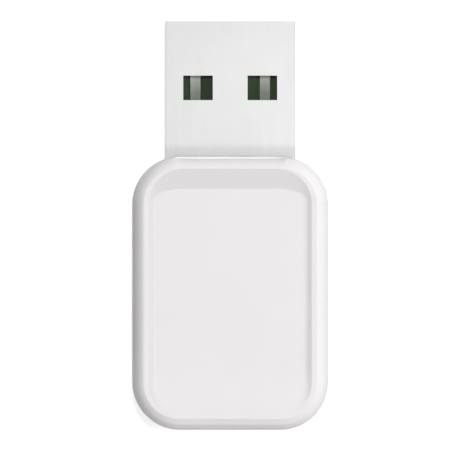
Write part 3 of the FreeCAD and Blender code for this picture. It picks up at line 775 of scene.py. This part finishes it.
@dataclass(frozen=True)
class Fittings:
    """Ribs, saddles, posts and pins that carry the board and the plug, and the snap beads.

    All of them stand on both sides of the middle plane. Lines across the body are counted
    back from its front.
    """

    front: float
    inner_half_width: float

    # How far they run into what they stand on, and the gap of their fits
    root: float = 0.2 * MM
    clearance: float = 0.05 * MM

    # Ribs over and under the board's edges, and saddles over and under the plug
    rib_thickness: float = 0.8 * MM
    rib_bite: float = 0.9 * MM
    ribs_from_front: Pair = (10.4 * MM, 15.9 * MM)
    saddle_half_width: float = 5.4 * MM
    saddles_from_front: Pair = (2.8 * MM, 5.2 * MM)

    # Posts and the pins on them, placed from the board's side and its far end
    post_radius: float = 1.0 * MM
    post_sides: int = 32
    pin_radius: float = 0.5 * MM
    pin_above_board: float = 0.6 * MM
    pin_from_side: float = 1.3 * MM
    pin_before_end: float = 3.4 * MM

    # Snap beads, whose middle and flat back are counted out from the wall's inner face
    bead_radius: float = 0.35 * MM
    bead_middle: float = 0.35 * MM
    bead_back: float = 0.25 * MM
    bead_length: float = 3.0 * MM
    bead_sides: int = 24
    beads_from_front: Pair = (8.5 * MM, 17.5 * MM)

    def across(self, from_front: float) -> Pair:
        """The two Y limits of a rib whose middle is a distance behind the front."""
        middle = self.front - from_front
        return middle - self.rib_thickness / 2, middle + self.rib_thickness / 2

    def ribs(self, into_wall: float, bottom: float, top: float) -> list[Piece]:
        """Upright ribs at the board's long edges.

        Args:
            into_wall: How far they run past the wall's inner face, negative if they stop short.
            bottom: Their lower end.
            top: Their upper end.

        Returns:
            Four closed solids.
        """
        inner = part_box("circuit_board")[1].x - self.rib_bite
        outer = self.inner_half_width + into_wall
        pieces = []
        for line in self.ribs_from_front:
            y0, y1 = self.across(line)
            pieces.append(block("rib", (inner, y0, bottom), (outer, y1, top)))
            pieces.append(block("rib", (-outer, y0, bottom), (-inner, y1, top)))
        return pieces

    def saddles(self, bottom: float, top: float) -> list[Piece]:
        """Ribs across the body that the plug lies between.

        Args:
            bottom: Their lower end.
            top: Their upper end.

        Returns:
            Two closed solids.
        """
        half = self.saddle_half_width
        limits = [self.across(line) for line in self.saddles_from_front]
        return [block("saddle", (-half, y0, bottom), (half, y1, top)) for y0, y1 in limits]

    def uprights(self, radius: float, bottom: float, top: float) -> list[Piece]:
        """Two round posts at the places of the board's pin holes.

        Args:
            radius: Their radius.
            bottom: Their lower end.
            top: Their upper end.

        Returns:
            Two closed solids.
        """
        low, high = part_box("circuit_board")
        x, y = high.x - self.pin_from_side, low.y + self.pin_before_end
        up = np.array((0.0, 0.0, top - bottom))
        rounds = [arc((side * x, y), (radius,) * 2, 0, 360, self.post_sides) for side in (-1, 1)]
        return [prism("post", level(points, bottom), up) for points in rounds]

    def beads(self, height: float, grow: float) -> list[Piece]:
        """Bars of round section along the sides, cut flat at their back.

        Args:
            height: Height of their middle line.
            grow: Distance by which they are grown, for the pockets.

        Returns:
            Four closed solids.
        """
        radius = self.bead_radius + grow
        turn = math.degrees(math.acos((self.bead_back - self.bead_middle) / radius))
        middle = (self.inner_half_width + self.bead_middle, height)
        section = arc(middle, (radius,) * 2, -turn, turn, self.bead_sides)
        length = np.array((0.0, self.bead_length + 2 * grow, 0.0))
        pieces = []
        for line in self.beads_from_front:
            start = np.full(len(section), self.front - line - length[1] / 2)
            for side in (-1.0, 1.0):
                outline = np.column_stack([side * section[:, 0], start, section[:, 1]])
                pieces.append(prism("bead", outline, length))
        return pieces


@dataclass
class Body:
    """The moulded body: two halves that meet in a fine groove halfway up the plug.

    Its profiles are stations, each an inset from the outline in plan and a height.
    """

    plastic: MouldedPlastic = MouldedPlastic(
        "body_white",
        (0.86, 0.835, 0.843),
        (0.845, 0.82, 0.829),
        (0.36, 0.44),
        # Painted shade on the dish's slopes
        painted_slope_shade=(0.745, 0.727, 0.733),
    )
    lattice: Lattice = Lattice()
    crease: float = 30.0

    # Walls, with the draft in degrees, and the groove where the halves meet
    corner_radius: float = 4.4 * MM
    draft: float = 1.0
    wall: float = 1.1 * MM
    floor_wall: float = 1.1 * MM
    ceiling_drop: float = 1.25 * MM
    inner_bevel: float = 0.5 * MM
    groove: float = 0.12 * MM

    # Rounded edges, the crest round the face, and the far end's flat facets
    edge_points: int = 22
    back_edge_radius: float = 1.1 * MM
    face_edge_radius: float = 1.55 * MM
    crest_tilt: float = 20.0
    crest_softness: float = 0.04 * MM
    crest_points: int = 5
    facet_steps: int = 7
    facet_fade: float = 3.0 * MM

    # Fine ledge across the front, over the plug
    ledge_depth: float = 0.2 * MM
    ledge_above_plug: float = 0.25 * MM
    ledge_edge: float = 0.02 * MM
    ledge_fade: float = 0.6 * MM

    # Rebate of the upper half, lip of the lower one, and their snap beads
    rebate_inset: float = 0.55 * MM
    rebate_height: float = 1.45 * MM
    lip_inset: float = 0.6 * MM
    lip_height: float = 1.4 * MM
    lip_lead_in: float = 0.15 * MM
    bead_drop: float = 0.5 * MM

    # Dish: steep sides, a longer ramp at the plug's end and a run-out at the far end
    dish_depth: float = 0.15 * MM
    dish_side_rim: float = 1.53 * MM
    dish_end_rim: float = 1.15 * MM
    mouth_corner: float = 3.2 * MM
    side_run: float = 0.5 * MM
    side_cove: float = 0.3 * MM
    # Heights up the wall at which the painted shade on the sides and on the ramp is full
    side_painted_shade_rise: float = 0.35
    ramp_run: float = 1.83 * MM
    ramp_cove: float = 0.03 * MM
    ramp_painted_shade_rise: float = 0.012
    foot_corner: Pair = (2.85 * MM, 1.1 * MM)
    run_out: float = 4.6 * MM
    wall_points: int = 8
    cove_points: int = 7

    # Opening for the plug
    passage_clearance: float = 0.1 * MM
    passage_past_front: float = 2.0 * MM
    passage_lattice: Lattice = Lattice(4, 4, 6)
    plug_bend: float = 0.4 * MM

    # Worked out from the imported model
    front: float = field(init=False)
    back: float = field(init=False)
    top: float = field(init=False)
    parting: float = field(init=False)
    outline: Outline = field(init=False)
    fittings: Fittings = field(init=False)

    def __post_init__(self) -> None:
        """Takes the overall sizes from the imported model."""
        low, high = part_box("top_cover")
        self.front, self.back = high.y, low.y
        self.top, self.parting = high.z, low.z
        corner = (self.corner_radius, self.corner_radius)
        self.outline = Outline(high.x, low.y, high.y, corner, corner)
        self.fittings = Fittings(high.y, high.x - self.wall)

    def ring(self, inset: float, height: float) -> np.ndarray:
        """The body's outline, moved inwards and lifted to a height."""
        return level(self.outline.inset(inset).points(self.lattice), height)

    def above_groove(self, rise: float) -> Pair:
        """Station of the leaning wall, a rise above or below the parting plane."""
        return abs(rise) * math.tan(math.radians(self.draft)), self.parting + rise

    def edge_arc(self, outer: float, radius: float, tilt: float) -> list[Pair]:
        """Profile from the leaning wall round the edge to the outer face.

        The wall leans in by the draft angle d. A point of the arc lies at (c - r cos a,
        z + r sin a), where a runs from d until the surface is tilt degrees short of level,
        and the centre (c, z) makes the arc touch the wall and end at the outer face.

        Args:
            outer: Height of the outer face.
            radius: Radius r of the arc.
            tilt: Angle at which the arc meets the outer face, in degrees.

        Returns:
            The stations.
        """
        away = math.copysign(1.0, outer - self.parting)
        lean = math.radians(self.draft)
        end = math.radians(90.0 - tilt)
        rise = abs(outer - self.parting) - radius * math.sin(end)
        centre = rise * math.tan(lean) + radius / math.cos(lean)
        angle = np.linspace(lean, end, self.edge_points)
        inset = centre - radius * np.cos(angle)
        height = self.parting + away * (rise + radius * np.sin(angle))
        return list(zip(inset.tolist(), height.tolist()))

    def faceted(self, edge: list[Pair]) -> list[Pair]:
        """An edge's arc made into flats, its points moved onto the chords of facet_steps steps.

        Args:
            edge: Stations of the arc.

        Returns:
            As many stations.
        """
        profile = np.array(edge)
        numbers = np.arange(len(edge))
        ends = numbers[:: self.facet_steps]
        insets = np.interp(numbers, ends, profile[ends, 0])
        heights = np.interp(numbers, ends, profile[ends, 1])
        return list(zip(insets.tolist(), heights.tolist()))

    def set_back(self, edge: list[Pair]) -> list[Pair]:
        """An edge's arc moved inwards, by the ledge's depth at its foot and less and less above.

        Args:
            edge: Stations of the arc.

        Returns:
            As many stations, the last of which has not moved.
        """
        foot, crest = edge[0][0], edge[-1][0]
        slack = self.ledge_depth / (crest - foot)
        return [(inset + slack * (crest - inset), height) for inset, height in edge]

    def ledge(self) -> tuple[list[Pair], list[Pair]]:
        """Stations round the height of the ledge, at one and three widths of its edge from it.

        Returns:
            The plain wall's stations, and as many for the wall that steps in to the ledge.
        """
        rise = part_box("plug_shell")[1].z + self.ledge_above_plug - self.parting
        edge = self.ledge_edge
        plain = [self.above_groove(rise + step * edge) for step in (-3, -1, 1, 3)]
        inset, height = self.above_groove(rise)
        level_part = [(inset + edge, height), (inset + self.ledge_depth, height)]
        return plain, plain[:2] + level_part

    def end_share(self, end: float, fade: float) -> np.ndarray:
        """How far each ring point belongs to one end: 1 along its straight, 0 past the fade.

        Args:
            end: Y of the end.
            fade: Distance across in which the share falls to 0, counted from the straight.

        Returns:
            Array of shape (ring length, 1).
        """
        plan = self.outline.points(self.lattice)
        beyond = np.abs(plan[:, :1]) - (self.outline.half_width - self.corner_radius)
        near = (plan[:, 1:] - (self.front + self.back) / 2) * end > 0.0
        return np.where(near, np.clip(1.0 - beyond / fade, 0.0, 1.0), 0.0)

    def upper_edge(self) -> list[np.ndarray]:
        """The upper wall and its rounded edge, with the far end's facets and the front's ledge.

        Each ring is the plain one, the front one and the back one, each times its share.

        Returns:
            The rings, up to the level rim.
        """
        edge = self.edge_arc(self.top, self.face_edge_radius, self.crest_tilt)
        plain, stepped = self.ledge()
        sides = plain + edge[:-1]
        front = stepped + self.set_back(edge)[:-1]
        back = plain + self.faceted(edge)[:-1]
        at_front = self.end_share(self.front, self.ledge_fade)
        at_back = self.end_share(self.back, self.facet_fade)
        rings = []
        for side_station, front_station, back_station in zip(sides, front, back):
            ring = (1 - at_front - at_back) * self.ring(*side_station)
            ring += at_front * self.ring(*front_station) + at_back * self.ring(*back_station)
            rings.append(ring)
        return rings + [self.ring(*station) for station in self.soft_crest(edge)]

    def soft_crest(self, edge: list[Pair]) -> list[Pair]:
        """Crest where the edge's arc meets the level rim, rounded by a parabola.

        The parabola runs from a point on the arc's last tangent to one on the rim, each
        crest_softness away from the crest.

        Args:
            edge: Stations of the arc.

        Returns:
            The parabola's stations.
        """
        inset, height = edge[-1]
        tilt = math.radians(self.crest_tilt)
        soft = self.crest_softness
        start = np.array((inset - soft * math.cos(tilt), height - soft * math.sin(tilt)))
        crest = np.array((inset, height))
        stop = np.array((inset + soft, height))
        share = np.linspace(0.0, 1.0, self.crest_points)[:, None]
        curve = (1 - share) ** 2 * start + 2 * share * (1 - share) * crest + share**2 * stop
        return [tuple(point) for point in curve.tolist()]

    def plug_passage(self) -> Piece:
        """The opening for the plug through the front wall.

        Returns:
            A closed solid to cut out.
        """
        low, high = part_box("plug_shell")
        grown = self.passage_clearance
        corner = (self.plug_bend + grown,) * 2
        section = Outline(high.x + grown, low.z - grown, high.z + grown, corner, corner)
        plan = section.points(self.passage_lattice)
        start = np.full(len(plan), self.front - self.corner_radius)
        along = np.array((0.0, self.corner_radius + self.passage_past_front, 0.0))
        return prism("passage", np.column_stack([plan[:, 0], start, plan[:, 1]]), along)

    def dish_outlines(self) -> tuple[Outline, Outline]:
        """Where the dish's wall begins and ends.

        Returns:
            The outline at its mouth and the one at the foot of the wall.
        """
        mouth_corner = (self.mouth_corner,) * 2
        mouth = Outline(
            self.outline.half_width - self.dish_side_rim,
            self.back + self.dish_end_rim,
            self.front - self.dish_end_rim,
            mouth_corner,
            mouth_corner,
        )
        foot = Outline(
            mouth.half_width - self.side_run,
            mouth.back + self.side_run,
            mouth.front - self.ramp_run,
            (self.mouth_corner - self.side_run,) * 2,
            self.foot_corner,
        )
        return mouth, foot

    def cove(self, run: float | np.ndarray) -> float | np.ndarray:
        """How far the cove at the foot of a wall reaches, up the wall and out on the floor.

        The steep sides end in a wide cove and the long ramp in a crisp one.

        Args:
            run: How far the wall runs in plan.

        Returns:
            The reach, by even steps between those two.
        """
        return np.interp(run, (self.side_run, self.ramp_run), (self.side_cove, self.ramp_cove))

    def dish_rings(self) -> list[np.ndarray]:
        """Rings of the dish, from just outside its mouth to the end of the cove at its foot.

        A ruled wall joins each point of the mouth to its point of the foot, and its height
        falls evenly along that line. One parabola rounds it at the mouth, from crest_softness
        before to as far after it, and another at the foot, from the cove's reach up the wall
        to its reach out on the floor. Towards the far end the height h is lifted to
        1 - (1 - h)(1 - e), where e is the floor's own rise from 0 to 1.

        Returns:
            The rings in their order.
        """
        mouth, foot = self.dish_outlines()
        side, ramp = self.cove(self.side_run), self.cove(self.ramp_run)
        flat = Outline(
            foot.half_width - side,
            foot.back + side,
            foot.front - ramp,
            (foot.back_corner[0] - side, foot.back_corner[1] - side),
            (foot.front_corner[0] - side, foot.front_corner[1] - ramp),
        )
        start, middle, stop = (edge.points(self.lattice) for edge in (mouth, foot, flat))
        run = np.linalg.norm(middle - start, axis=1)
        direction = (middle - start) / run[:, None]
        soft = self.crest_softness
        cove = self.cove(run)
        rings = []
        for share in np.linspace(-1.0, 1.0, self.crest_points):
            fall = (share * soft + soft) ** 2 / (4 * soft) / run
            rings.append(self.dish_ring(start + direction * share * soft, 1 - fall))
        for share in np.linspace(0.0, 1.0, self.wall_points)[1:-1]:
            distance = soft + share * (run - cove - soft)
            rings.append(self.dish_ring(start + direction * distance[:, None], 1 - distance / run))
        for share in np.linspace(0.0, 1.0, self.cove_points):
            left = (2 - share) ** 2 * cove / (4 * run)
            plan = middle + direction * ((share - 1) * cove)[:, None]
            rings.append(self.dish_ring(plan, left))
        for share in np.linspace(0.0, 1.0, self.cove_points)[1:]:
            left = (1 - share) ** 2 * cove / (4 * run)
            rings.append(self.dish_ring(middle + (stop - middle) * share, left))
        return rings

    def dish_ring(self, plan: np.ndarray, wall_height: np.ndarray | float) -> np.ndarray:
        """One ring of the dish.

        Args:
            plan: Its plan points.
            wall_height: Height of the ruled wall there, from 0 at the floor to 1 at the rim.

        Returns:
            Array of shape (ring length, 3).
        """
        lift = self.end_lift(plan[:, 1])
        share = 1 - (1 - wall_height) * (1 - lift)
        return level(plan, self.top - self.dish_depth * (1 - share))

    def end_lift(self, y: np.ndarray) -> np.ndarray:
        """How far the floor has risen to the rim at the far end.

        Two equal parabolas, one up from the floor and one over to the rim, meet halfway.

        Args:
            y: Places along the stick.

        Returns:
            The rise at each, from 0 at the floor to 1 at the rim.
        """
        share = np.clip((self.back + self.dish_end_rim + self.run_out - y) / self.run_out, 0.0, 1.0)
        return np.where(share < 0.5, 2 * share**2, 1 - 2 * (1 - share) ** 2)

    def floor_height(self, plan: np.ndarray) -> np.ndarray:
        """Height of the dish's floor at plan points."""
        return self.top - self.dish_depth * (1 - self.end_lift(plan[:, 1]))

    def mark_slope(self, cover: Piece) -> None:
        """Stores at each point how far it is up the dish's wall, as the attribute slope.

        The attribute rises from 0 at the floor to 1 at a set share of the dish's depth, and masks
        the painted shade on the wall.

        Args:
            cover: The upper cover, before anything is added to it.
        """
        points = np.zeros(len(cover.data.vertices) * 3, np.float32)
        cover.data.vertices.foreach_get("co", points)
        points = points.reshape(-1, 3)
        mouth, foot = self.dish_outlines()
        inside = mouth.holds(points[:, :2])
        share = (points[:, 2] - self.floor_height(points[:, :2])) / self.dish_depth
        ramp_ends = (foot.front - self.foot_corner[1], foot.front)
        rise = np.interp(points[:, 1], ramp_ends, (self.side_painted_shade_rise, self.ramp_painted_shade_rise))
        slope = np.where(inside, np.clip(share / rise, 0.0, 1.0), 0.0)
        layer = cover.data.attributes.new("slope", "FLOAT", "POINT")
        layer.data.foreach_set("value", slope.astype(np.float32))

    def bead_height(self) -> float:
        """Height of the beads' middle line, counted down from the top of the lip."""
        return self.parting + self.lip_height - self.bead_drop

    def upper_half(self) -> Piece:
        """The upper cover: hollow with a rebate, leaning wall, rounded edge, rim and dish.

        Returns:
            The cover, with its ribs, its pockets for the beads and the plug's opening.
        """
        ceiling = self.top - self.ceiling_drop
        inner = [
            (self.wall + self.inner_bevel, ceiling),
            (self.wall, ceiling - self.inner_bevel),
            (self.wall, self.parting + self.rebate_height),
            (self.rebate_inset, self.parting + self.rebate_height),
            (self.rebate_inset, self.parting),
            (self.groove, self.parting),
            self.above_groove(self.groove),
        ]
        rings = [self.ring(*station) for station in inner]
        rings += self.upper_edge() + self.dish_rings()
        cover = closed_skin("upper_half", rings, self.lattice, self.floor_height)
        self.mark_slope(cover)
        parts = self.fittings
        root = ceiling + parts.root
        board_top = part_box("circuit_board")[1].z
        ribs = parts.ribs(-parts.clearance, board_top + parts.clearance, root)
        reshape(cover, ribs + parts.saddles(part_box("plug_shell")[1].z, root), Change.ADD)
        pockets = parts.beads(self.bead_height(), parts.clearance)
        reshape(cover, [self.plug_passage(), *pockets], Change.CUT)
        return cover

    def lower_half(self) -> Piece:
        """The lower cover: hollow with a lip, leaning wall, rounded edge and flat back.

        Returns:
            The cover, with its ribs, posts, pins and beads and the plug's opening.
        """
        lip_top = self.parting + self.lip_height
        inner = [
            (self.wall + self.inner_bevel, self.floor_wall),
            (self.wall, self.floor_wall + self.inner_bevel),
            (self.wall, lip_top),
            (self.lip_inset + self.lip_lead_in, lip_top),
            (self.lip_inset, lip_top - self.lip_lead_in),
            (self.lip_inset, self.parting),
            (self.groove, self.parting),
            self.above_groove(-self.groove),
        ]
        edge = self.edge_arc(0.0, self.back_edge_radius, 0.0)
        rings = [self.ring(*station) for station in inner + edge]
        cover = closed_skin("lower_half", rings, self.lattice, lambda plan: np.zeros(len(plan)))
        parts = self.fittings
        root = self.floor_wall - parts.root
        board_low, board_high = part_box("circuit_board")
        standing = parts.ribs(parts.root, root, board_low.z)
        standing += parts.saddles(root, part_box("plug_shell")[0].z)
        standing += parts.uprights(parts.post_radius, root, board_low.z)
        reshape(cover, standing, Change.ADD)
        pin_bottom = board_low.z - parts.root
        pins = parts.uprights(parts.pin_radius, pin_bottom, board_high.z + parts.pin_above_board)
        reshape(cover, pins + parts.beads(self.bead_height(), 0.0), Change.ADD)
        reshape(cover, [self.plug_passage()], Change.CUT)
        return cover

    def build(self) -> None:
        """Makes both covers and dresses them."""
        material = self.plastic.material()
        for half, node in ((self.upper_half, "top_cover"), (self.lower_half, "bottom_cover")):
            cover = half()
            smooth(cover, self.crease)
            dress(cover, material)
            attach(cover, BODY)
            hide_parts(node)
            LOG.info("%s: %d faces", cover.name, len(cover.data.polygons))


@dataclass(frozen=True)
class PlugShell:
    """The model's folded shell, shaded smoothly, whose upper windows get square corners.

    Windows are counted back from the tip. The steel has painted shade, darker on the left, and
    a painted shadow in the last stretch before the body, which is counted from the body's front.
    """

    # Windows of the model's shell, beyond which each cut goes by grow
    windows_from_tip: float = 5.0 * MM
    window_size: Pair = (2.7 * MM, 2.24 * MM)
    window_offset: float = 2.95 * MM
    sheet: float = 0.3 * MM
    grow: float = 0.004 * MM
    weld: float = 0.0005 * MM
    crease: float = 40.0

    # Painted shade on the steel and on the contact strips: its tones where darkest, and where it
    # changes
    left_painted_shade: Colour = (0.92, 0.92, 0.92)
    root_shadow_stretch: Pair = (1.2 * MM, 0.6 * MM)
    root_painted_shadow: Colour = (0.885, 0.88, 0.885)
    strip_shade_fade: float = 1.55 * MM
    strip_painted_shade: Colour = (0.5, 0.51, 0.49)

    def windows_front(self) -> float:
        """Y of the windows' edge towards the tip."""
        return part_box("plug_shell")[1].y - self.windows_from_tip

    def steel(self) -> RolledMetal:
        """Finish of the shell.

        Returns:
            Bright steel, with painted shade on its left and a painted shadow of the body at its
            root.
        """
        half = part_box("plug_shell")[1].x
        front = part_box("top_cover")[1].y
        root = (front + self.root_shadow_stretch[0], front + self.root_shadow_stretch[1])
        return RolledMetal(
            "plug_steel",
            (0.918, 0.918, 0.916),
            (0.898, 0.898, 0.896),
            (0.52, 0.62),
            # Painted shade towards the left, and a painted shadow of the body at the root
            painted_shades=(
                PaintedShade(Axis.ACROSS, (half, -half), self.left_painted_shade),
                PaintedShade(Axis.ALONG, root, self.root_painted_shadow),
            ),
        )

    def plating(self) -> RolledMetal:
        """Finish of the contact strips, seen through the windows.

        Returns:
            Worn plating, with painted shade that darkens it from the windows' front edge back.
        """
        front = self.windows_front()
        return RolledMetal(
            "contact_plating",
            (0.62, 0.64, 0.6),
            (0.56, 0.58, 0.54),
            (0.28, 0.45),
            bare=0.25,
            # Painted shade, darker away from the windows' front edge
            painted_shades=(PaintedShade(Axis.ALONG, (front, front - self.strip_shade_fade), self.strip_painted_shade),),
        )

    def build(self, material: bpy.types.Material) -> None:
        """Cuts and dresses the shell.

        Args:
            material: The shell's steel.
        """
        mesh = frame["nodes"]["plug_shell"].data.copy()
        merged = bmesh.new()
        merged.from_mesh(mesh)
        bmesh.ops.remove_doubles(merged, verts=merged.verts, dist=self.weld)
        merged.to_mesh(mesh)
        merged.free()
        shell = placed("folded_shell", mesh)
        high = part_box("plug_shell")[1]
        half = self.window_size[0] / 2 + self.grow
        front = self.windows_front() + self.grow
        back = front - self.window_size[1] - 2 * self.grow
        bottom, top = high.z - 2 * self.sheet, high.z + self.sheet
        windows = [
            block("window", (middle - half, back, bottom), (middle + half, front, top))
            for middle in (-self.window_offset, self.window_offset)
        ]
        reshape(shell, windows, Change.CUT)
        smooth(shell, self.crease)
        dress(shell, material)
        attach(shell, BODY)
        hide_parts("plug_shell")
        LOG.info("%s: %d faces", shell.name, len(shell.data.polygons))


@dataclass(frozen=True)
class Electronics:
    """The plug, its tongue and the board's parts.

    All but the plug's shell are kept as the model gives them, with the finish of their slot.
    """

    plug: PlugShell = PlugShell()
    finishes: tuple[Finish, ...] = (
        MouldedPlastic(
            "carrier_black", (0.025, 0.025, 0.027), (0.035, 0.035, 0.036), (0.45, 0.6)
        ),
        SolderMask("board_green", (0.038, 0.064, 0.034), (0.044, 0.072, 0.04)),
        RolledMetal("shield_tin", (0.74, 0.74, 0.72), (0.66, 0.66, 0.65), (0.35, 0.5)),
        FiredCeramic("chip_black", (0.022, 0.022, 0.024), (0.04, 0.04, 0.042), (0.5, 0.7)),
        RolledMetal("crystal_metal", (0.72, 0.66, 0.54), (0.64, 0.58, 0.47), (0.3, 0.45)),
        FiredCeramic("capacitor_tan", (0.5, 0.37, 0.25), (0.42, 0.3, 0.2), (0.35, 0.5)),
        FiredCeramic("resistor_black", (0.03, 0.03, 0.032), (0.05, 0.05, 0.052), (0.25, 0.4)),
        FiredCeramic("ferrite_grey", (0.11, 0.11, 0.115), (0.16, 0.16, 0.165), (0.5, 0.65)),
        MouldedPlastic("fuse_green", (0.05, 0.2, 0.08), (0.065, 0.24, 0.1), (0.35, 0.5)),
        FiredCeramic("antenna_ceramic", (0.76, 0.76, 0.71), (0.68, 0.68, 0.63), (0.4, 0.55)),
    )

    def build(self) -> None:
        """Makes the plug's shell and dresses the nodes that stay."""
        finishes = (self.plug.steel(), self.plug.plating(), *self.finishes)
        materials = {finish.name: finish.material() for finish in finishes}
        self.plug.build(materials["plug_steel"])
        for part in frame["record"]["subparts"]:
            node, slot = part["node"], part["material_slot"]
            if slot in materials:
                dress(frame["nodes"][node], materials[slot])
                LOG.info("%s: %s", node, slot)


@dataclass(frozen=True)
class Lamp:
    """A soft square lamp that faces the stick and isn't mirrored in it."""

    name: str
    place: tuple[float, float, float]
    side: float
    power: float

    def build(self) -> None:
        """Hangs the lamp and turns it towards the middle of the floor."""
        light = bpy.data.lights.new(self.name, "AREA")
        light.shape = "SQUARE"
        light.size = self.side
        light.energy = self.power
        lamp = placed(self.name, light)
        lamp.location = self.place
        lamp.rotation_euler = lamp.location.to_track_quat("Z", "Y").to_euler()
        lamp.visible_camera = False
        lamp.visible_glossy = False


class Operation(Enum):
    """Ways in which two values make one."""

    SUM = "ADD"
    PRODUCT = "MULTIPLY"
    POWER = "POWER"
    LARGER = "MAXIMUM"


def combined(
    tree: bpy.types.NodeTree,
    operation: Operation,
    first: Socket | float,
    second: Socket | float,
) -> Socket:
    """One value made of two, in the nodes of a material or of the surround."""
    inputs = {0: first, 1: second}
    return new_node(tree, "ShaderNodeMath", inputs, operation=operation.value).outputs[0]


@dataclass(frozen=True)
class Studio:
    """White floor and surround, soft lamps, and a long lens straight above the stick."""

    # Camera, with its sensor in millimetres
    image_side_px: float = 450.0
    px_per_metre: float = 10930.0
    stick_middle_px: Pair = (230.2, 225.6)
    lens_distance: float = 1.0
    sensor: float = 36.0

    # Floor, and how far it glows for the camera and in gloss
    floor_half: float = 1.5
    floor_drop: float = 0.01 * MM
    floor_tone: Colour = (0.62, 0.62, 0.62)
    floor_grain: float = 0.4 * MM
    floor_grain_shade: float = 0.97
    floor_roughness: float = 0.9
    floor_lift: float = 0.75
    floor_lift_in_gloss: float = 0.3

    # Surround and lamps
    surround_ahead: float = 0.15
    surround_focus: float = 6.0
    lamps: tuple[Lamp, ...] = (
        Lamp("right", (0.56, 0.0, 0.56), 0.3, 3.5),
        Lamp("ahead_low", (0.0, 0.77, 0.2), 0.3, 1.6),
        Lamp("behind", (0.0, -0.56, 0.56), 0.08, 0.8),
        Lamp("steep", (0.02, 0.085, 0.8), 0.05, 2.72),
    )

    def camera(self) -> None:
        """Looks straight down, with the stick's middle where the photograph has it."""
        data = bpy.data.cameras.new("camera")
        data.sensor_width = self.sensor
        low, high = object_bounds()
        width = self.image_side_px / self.px_per_metre
        data.lens = self.sensor * self.lens_distance / width
        camera = placed("camera", data)
        middle = self.image_side_px / 2
        camera.location = (
            (low[0] + high[0]) / 2 - (self.stick_middle_px[0] - middle) / self.px_per_metre,
            (low[1] + high[1]) / 2 + (self.stick_middle_px[1] - middle) / self.px_per_metre,
            high[2] + self.lens_distance,
        )
        bpy.context.scene.camera = camera

    def floor(self) -> None:
        """Level white sheet, a hair under the stick, that shows clear white wherever it is lit.

        It glows by one level for the camera and by another in gloss and through glass.
        """
        half, z = self.floor_half, -self.floor_drop
        corners = [(-half, -half, z), (half, -half, z), (half, half, z), (-half, half, z)]
        mesh = bpy.data.meshes.new("floor")
        mesh.from_pydata(corners, [], [(0, 1, 2, 3)])
        sheet = placed("floor", mesh)
        nodes = Nodes("floor_white")
        shade = tuple(self.floor_grain_shade * tone for tone in self.floor_tone)
        tone = nodes.blend(nodes.noise(self.floor_grain), self.floor_tone, shade)
        tree = nodes.tree
        ray = tree.nodes.new("ShaderNodeLightPath").outputs
        seen = combined(tree, Operation.PRODUCT, ray["Is Camera Ray"], self.floor_lift)
        gloss = combined(tree, Operation.LARGER, ray["Is Glossy Ray"], ray["Is Transmission Ray"])
        gloss = combined(tree, Operation.PRODUCT, gloss, self.floor_lift_in_gloss)
        nodes.put(
            base_color=tone,
            roughness=self.floor_roughness,
            emission_color=WHITE,
            emission_strength=combined(tree, Operation.SUM, seen, gloss),
        )
        dress(sheet, nodes.material)
        sheet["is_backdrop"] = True

    def world(self) -> None:
        """Surround that is brighter ahead, and white in gloss and glass.

        Its level in a direction (x, y, z) is ahead x ((1 + y) / 2) to the power of focus. The
        camera, and rays off gloss or through glass, see plain white instead.
        """
        world = bpy.data.worlds.new("surround")
        world.use_nodes = True
        tree = world.node_tree
        direction = tree.nodes.new("ShaderNodeTexCoord").outputs["Generated"]
        parts = new_node(tree, "ShaderNodeSeparateXYZ", {"Vector": direction}).outputs
        ahead = combined(tree, Operation.SUM, parts["Y"], 1.0)
        ahead = combined(tree, Operation.PRODUCT, ahead, 0.5)
        lobe = combined(tree, Operation.POWER, ahead, self.surround_focus)
        ray = tree.nodes.new("ShaderNodeLightPath").outputs
        seen = combined(tree, Operation.LARGER, ray["Is Camera Ray"], ray["Is Glossy Ray"])
        seen = combined(tree, Operation.LARGER, seen, ray["Is Transmission Ray"])
        glow = combined(tree, Operation.PRODUCT, lobe, self.surround_ahead)
        mix = new_node(tree, "ShaderNodeMix", {"Factor": seen, "A": glow, "B": 1.0})
        background = tree.nodes["Background"].inputs
        feed(background["Strength"], mix.outputs["Result"])
        feed(background["Color"], WHITE)
        bpy.context.scene.world = world

    def build(self) -> None:
        """Sets up the camera, floor, surround and lamps."""
        self.camera()
        self.floor()
        self.world()
        for lamp in self.lamps:
            lamp.build()
        bpy.context.scene.view_settings.view_transform = "Standard"


def main() -> None:
    logging.basicConfig(level=logging.INFO, format="%(name)s %(message)s")
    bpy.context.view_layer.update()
    Body().build()
    Electronics().build()
    Studio().build()


if __name__ == "__main__":
    main()
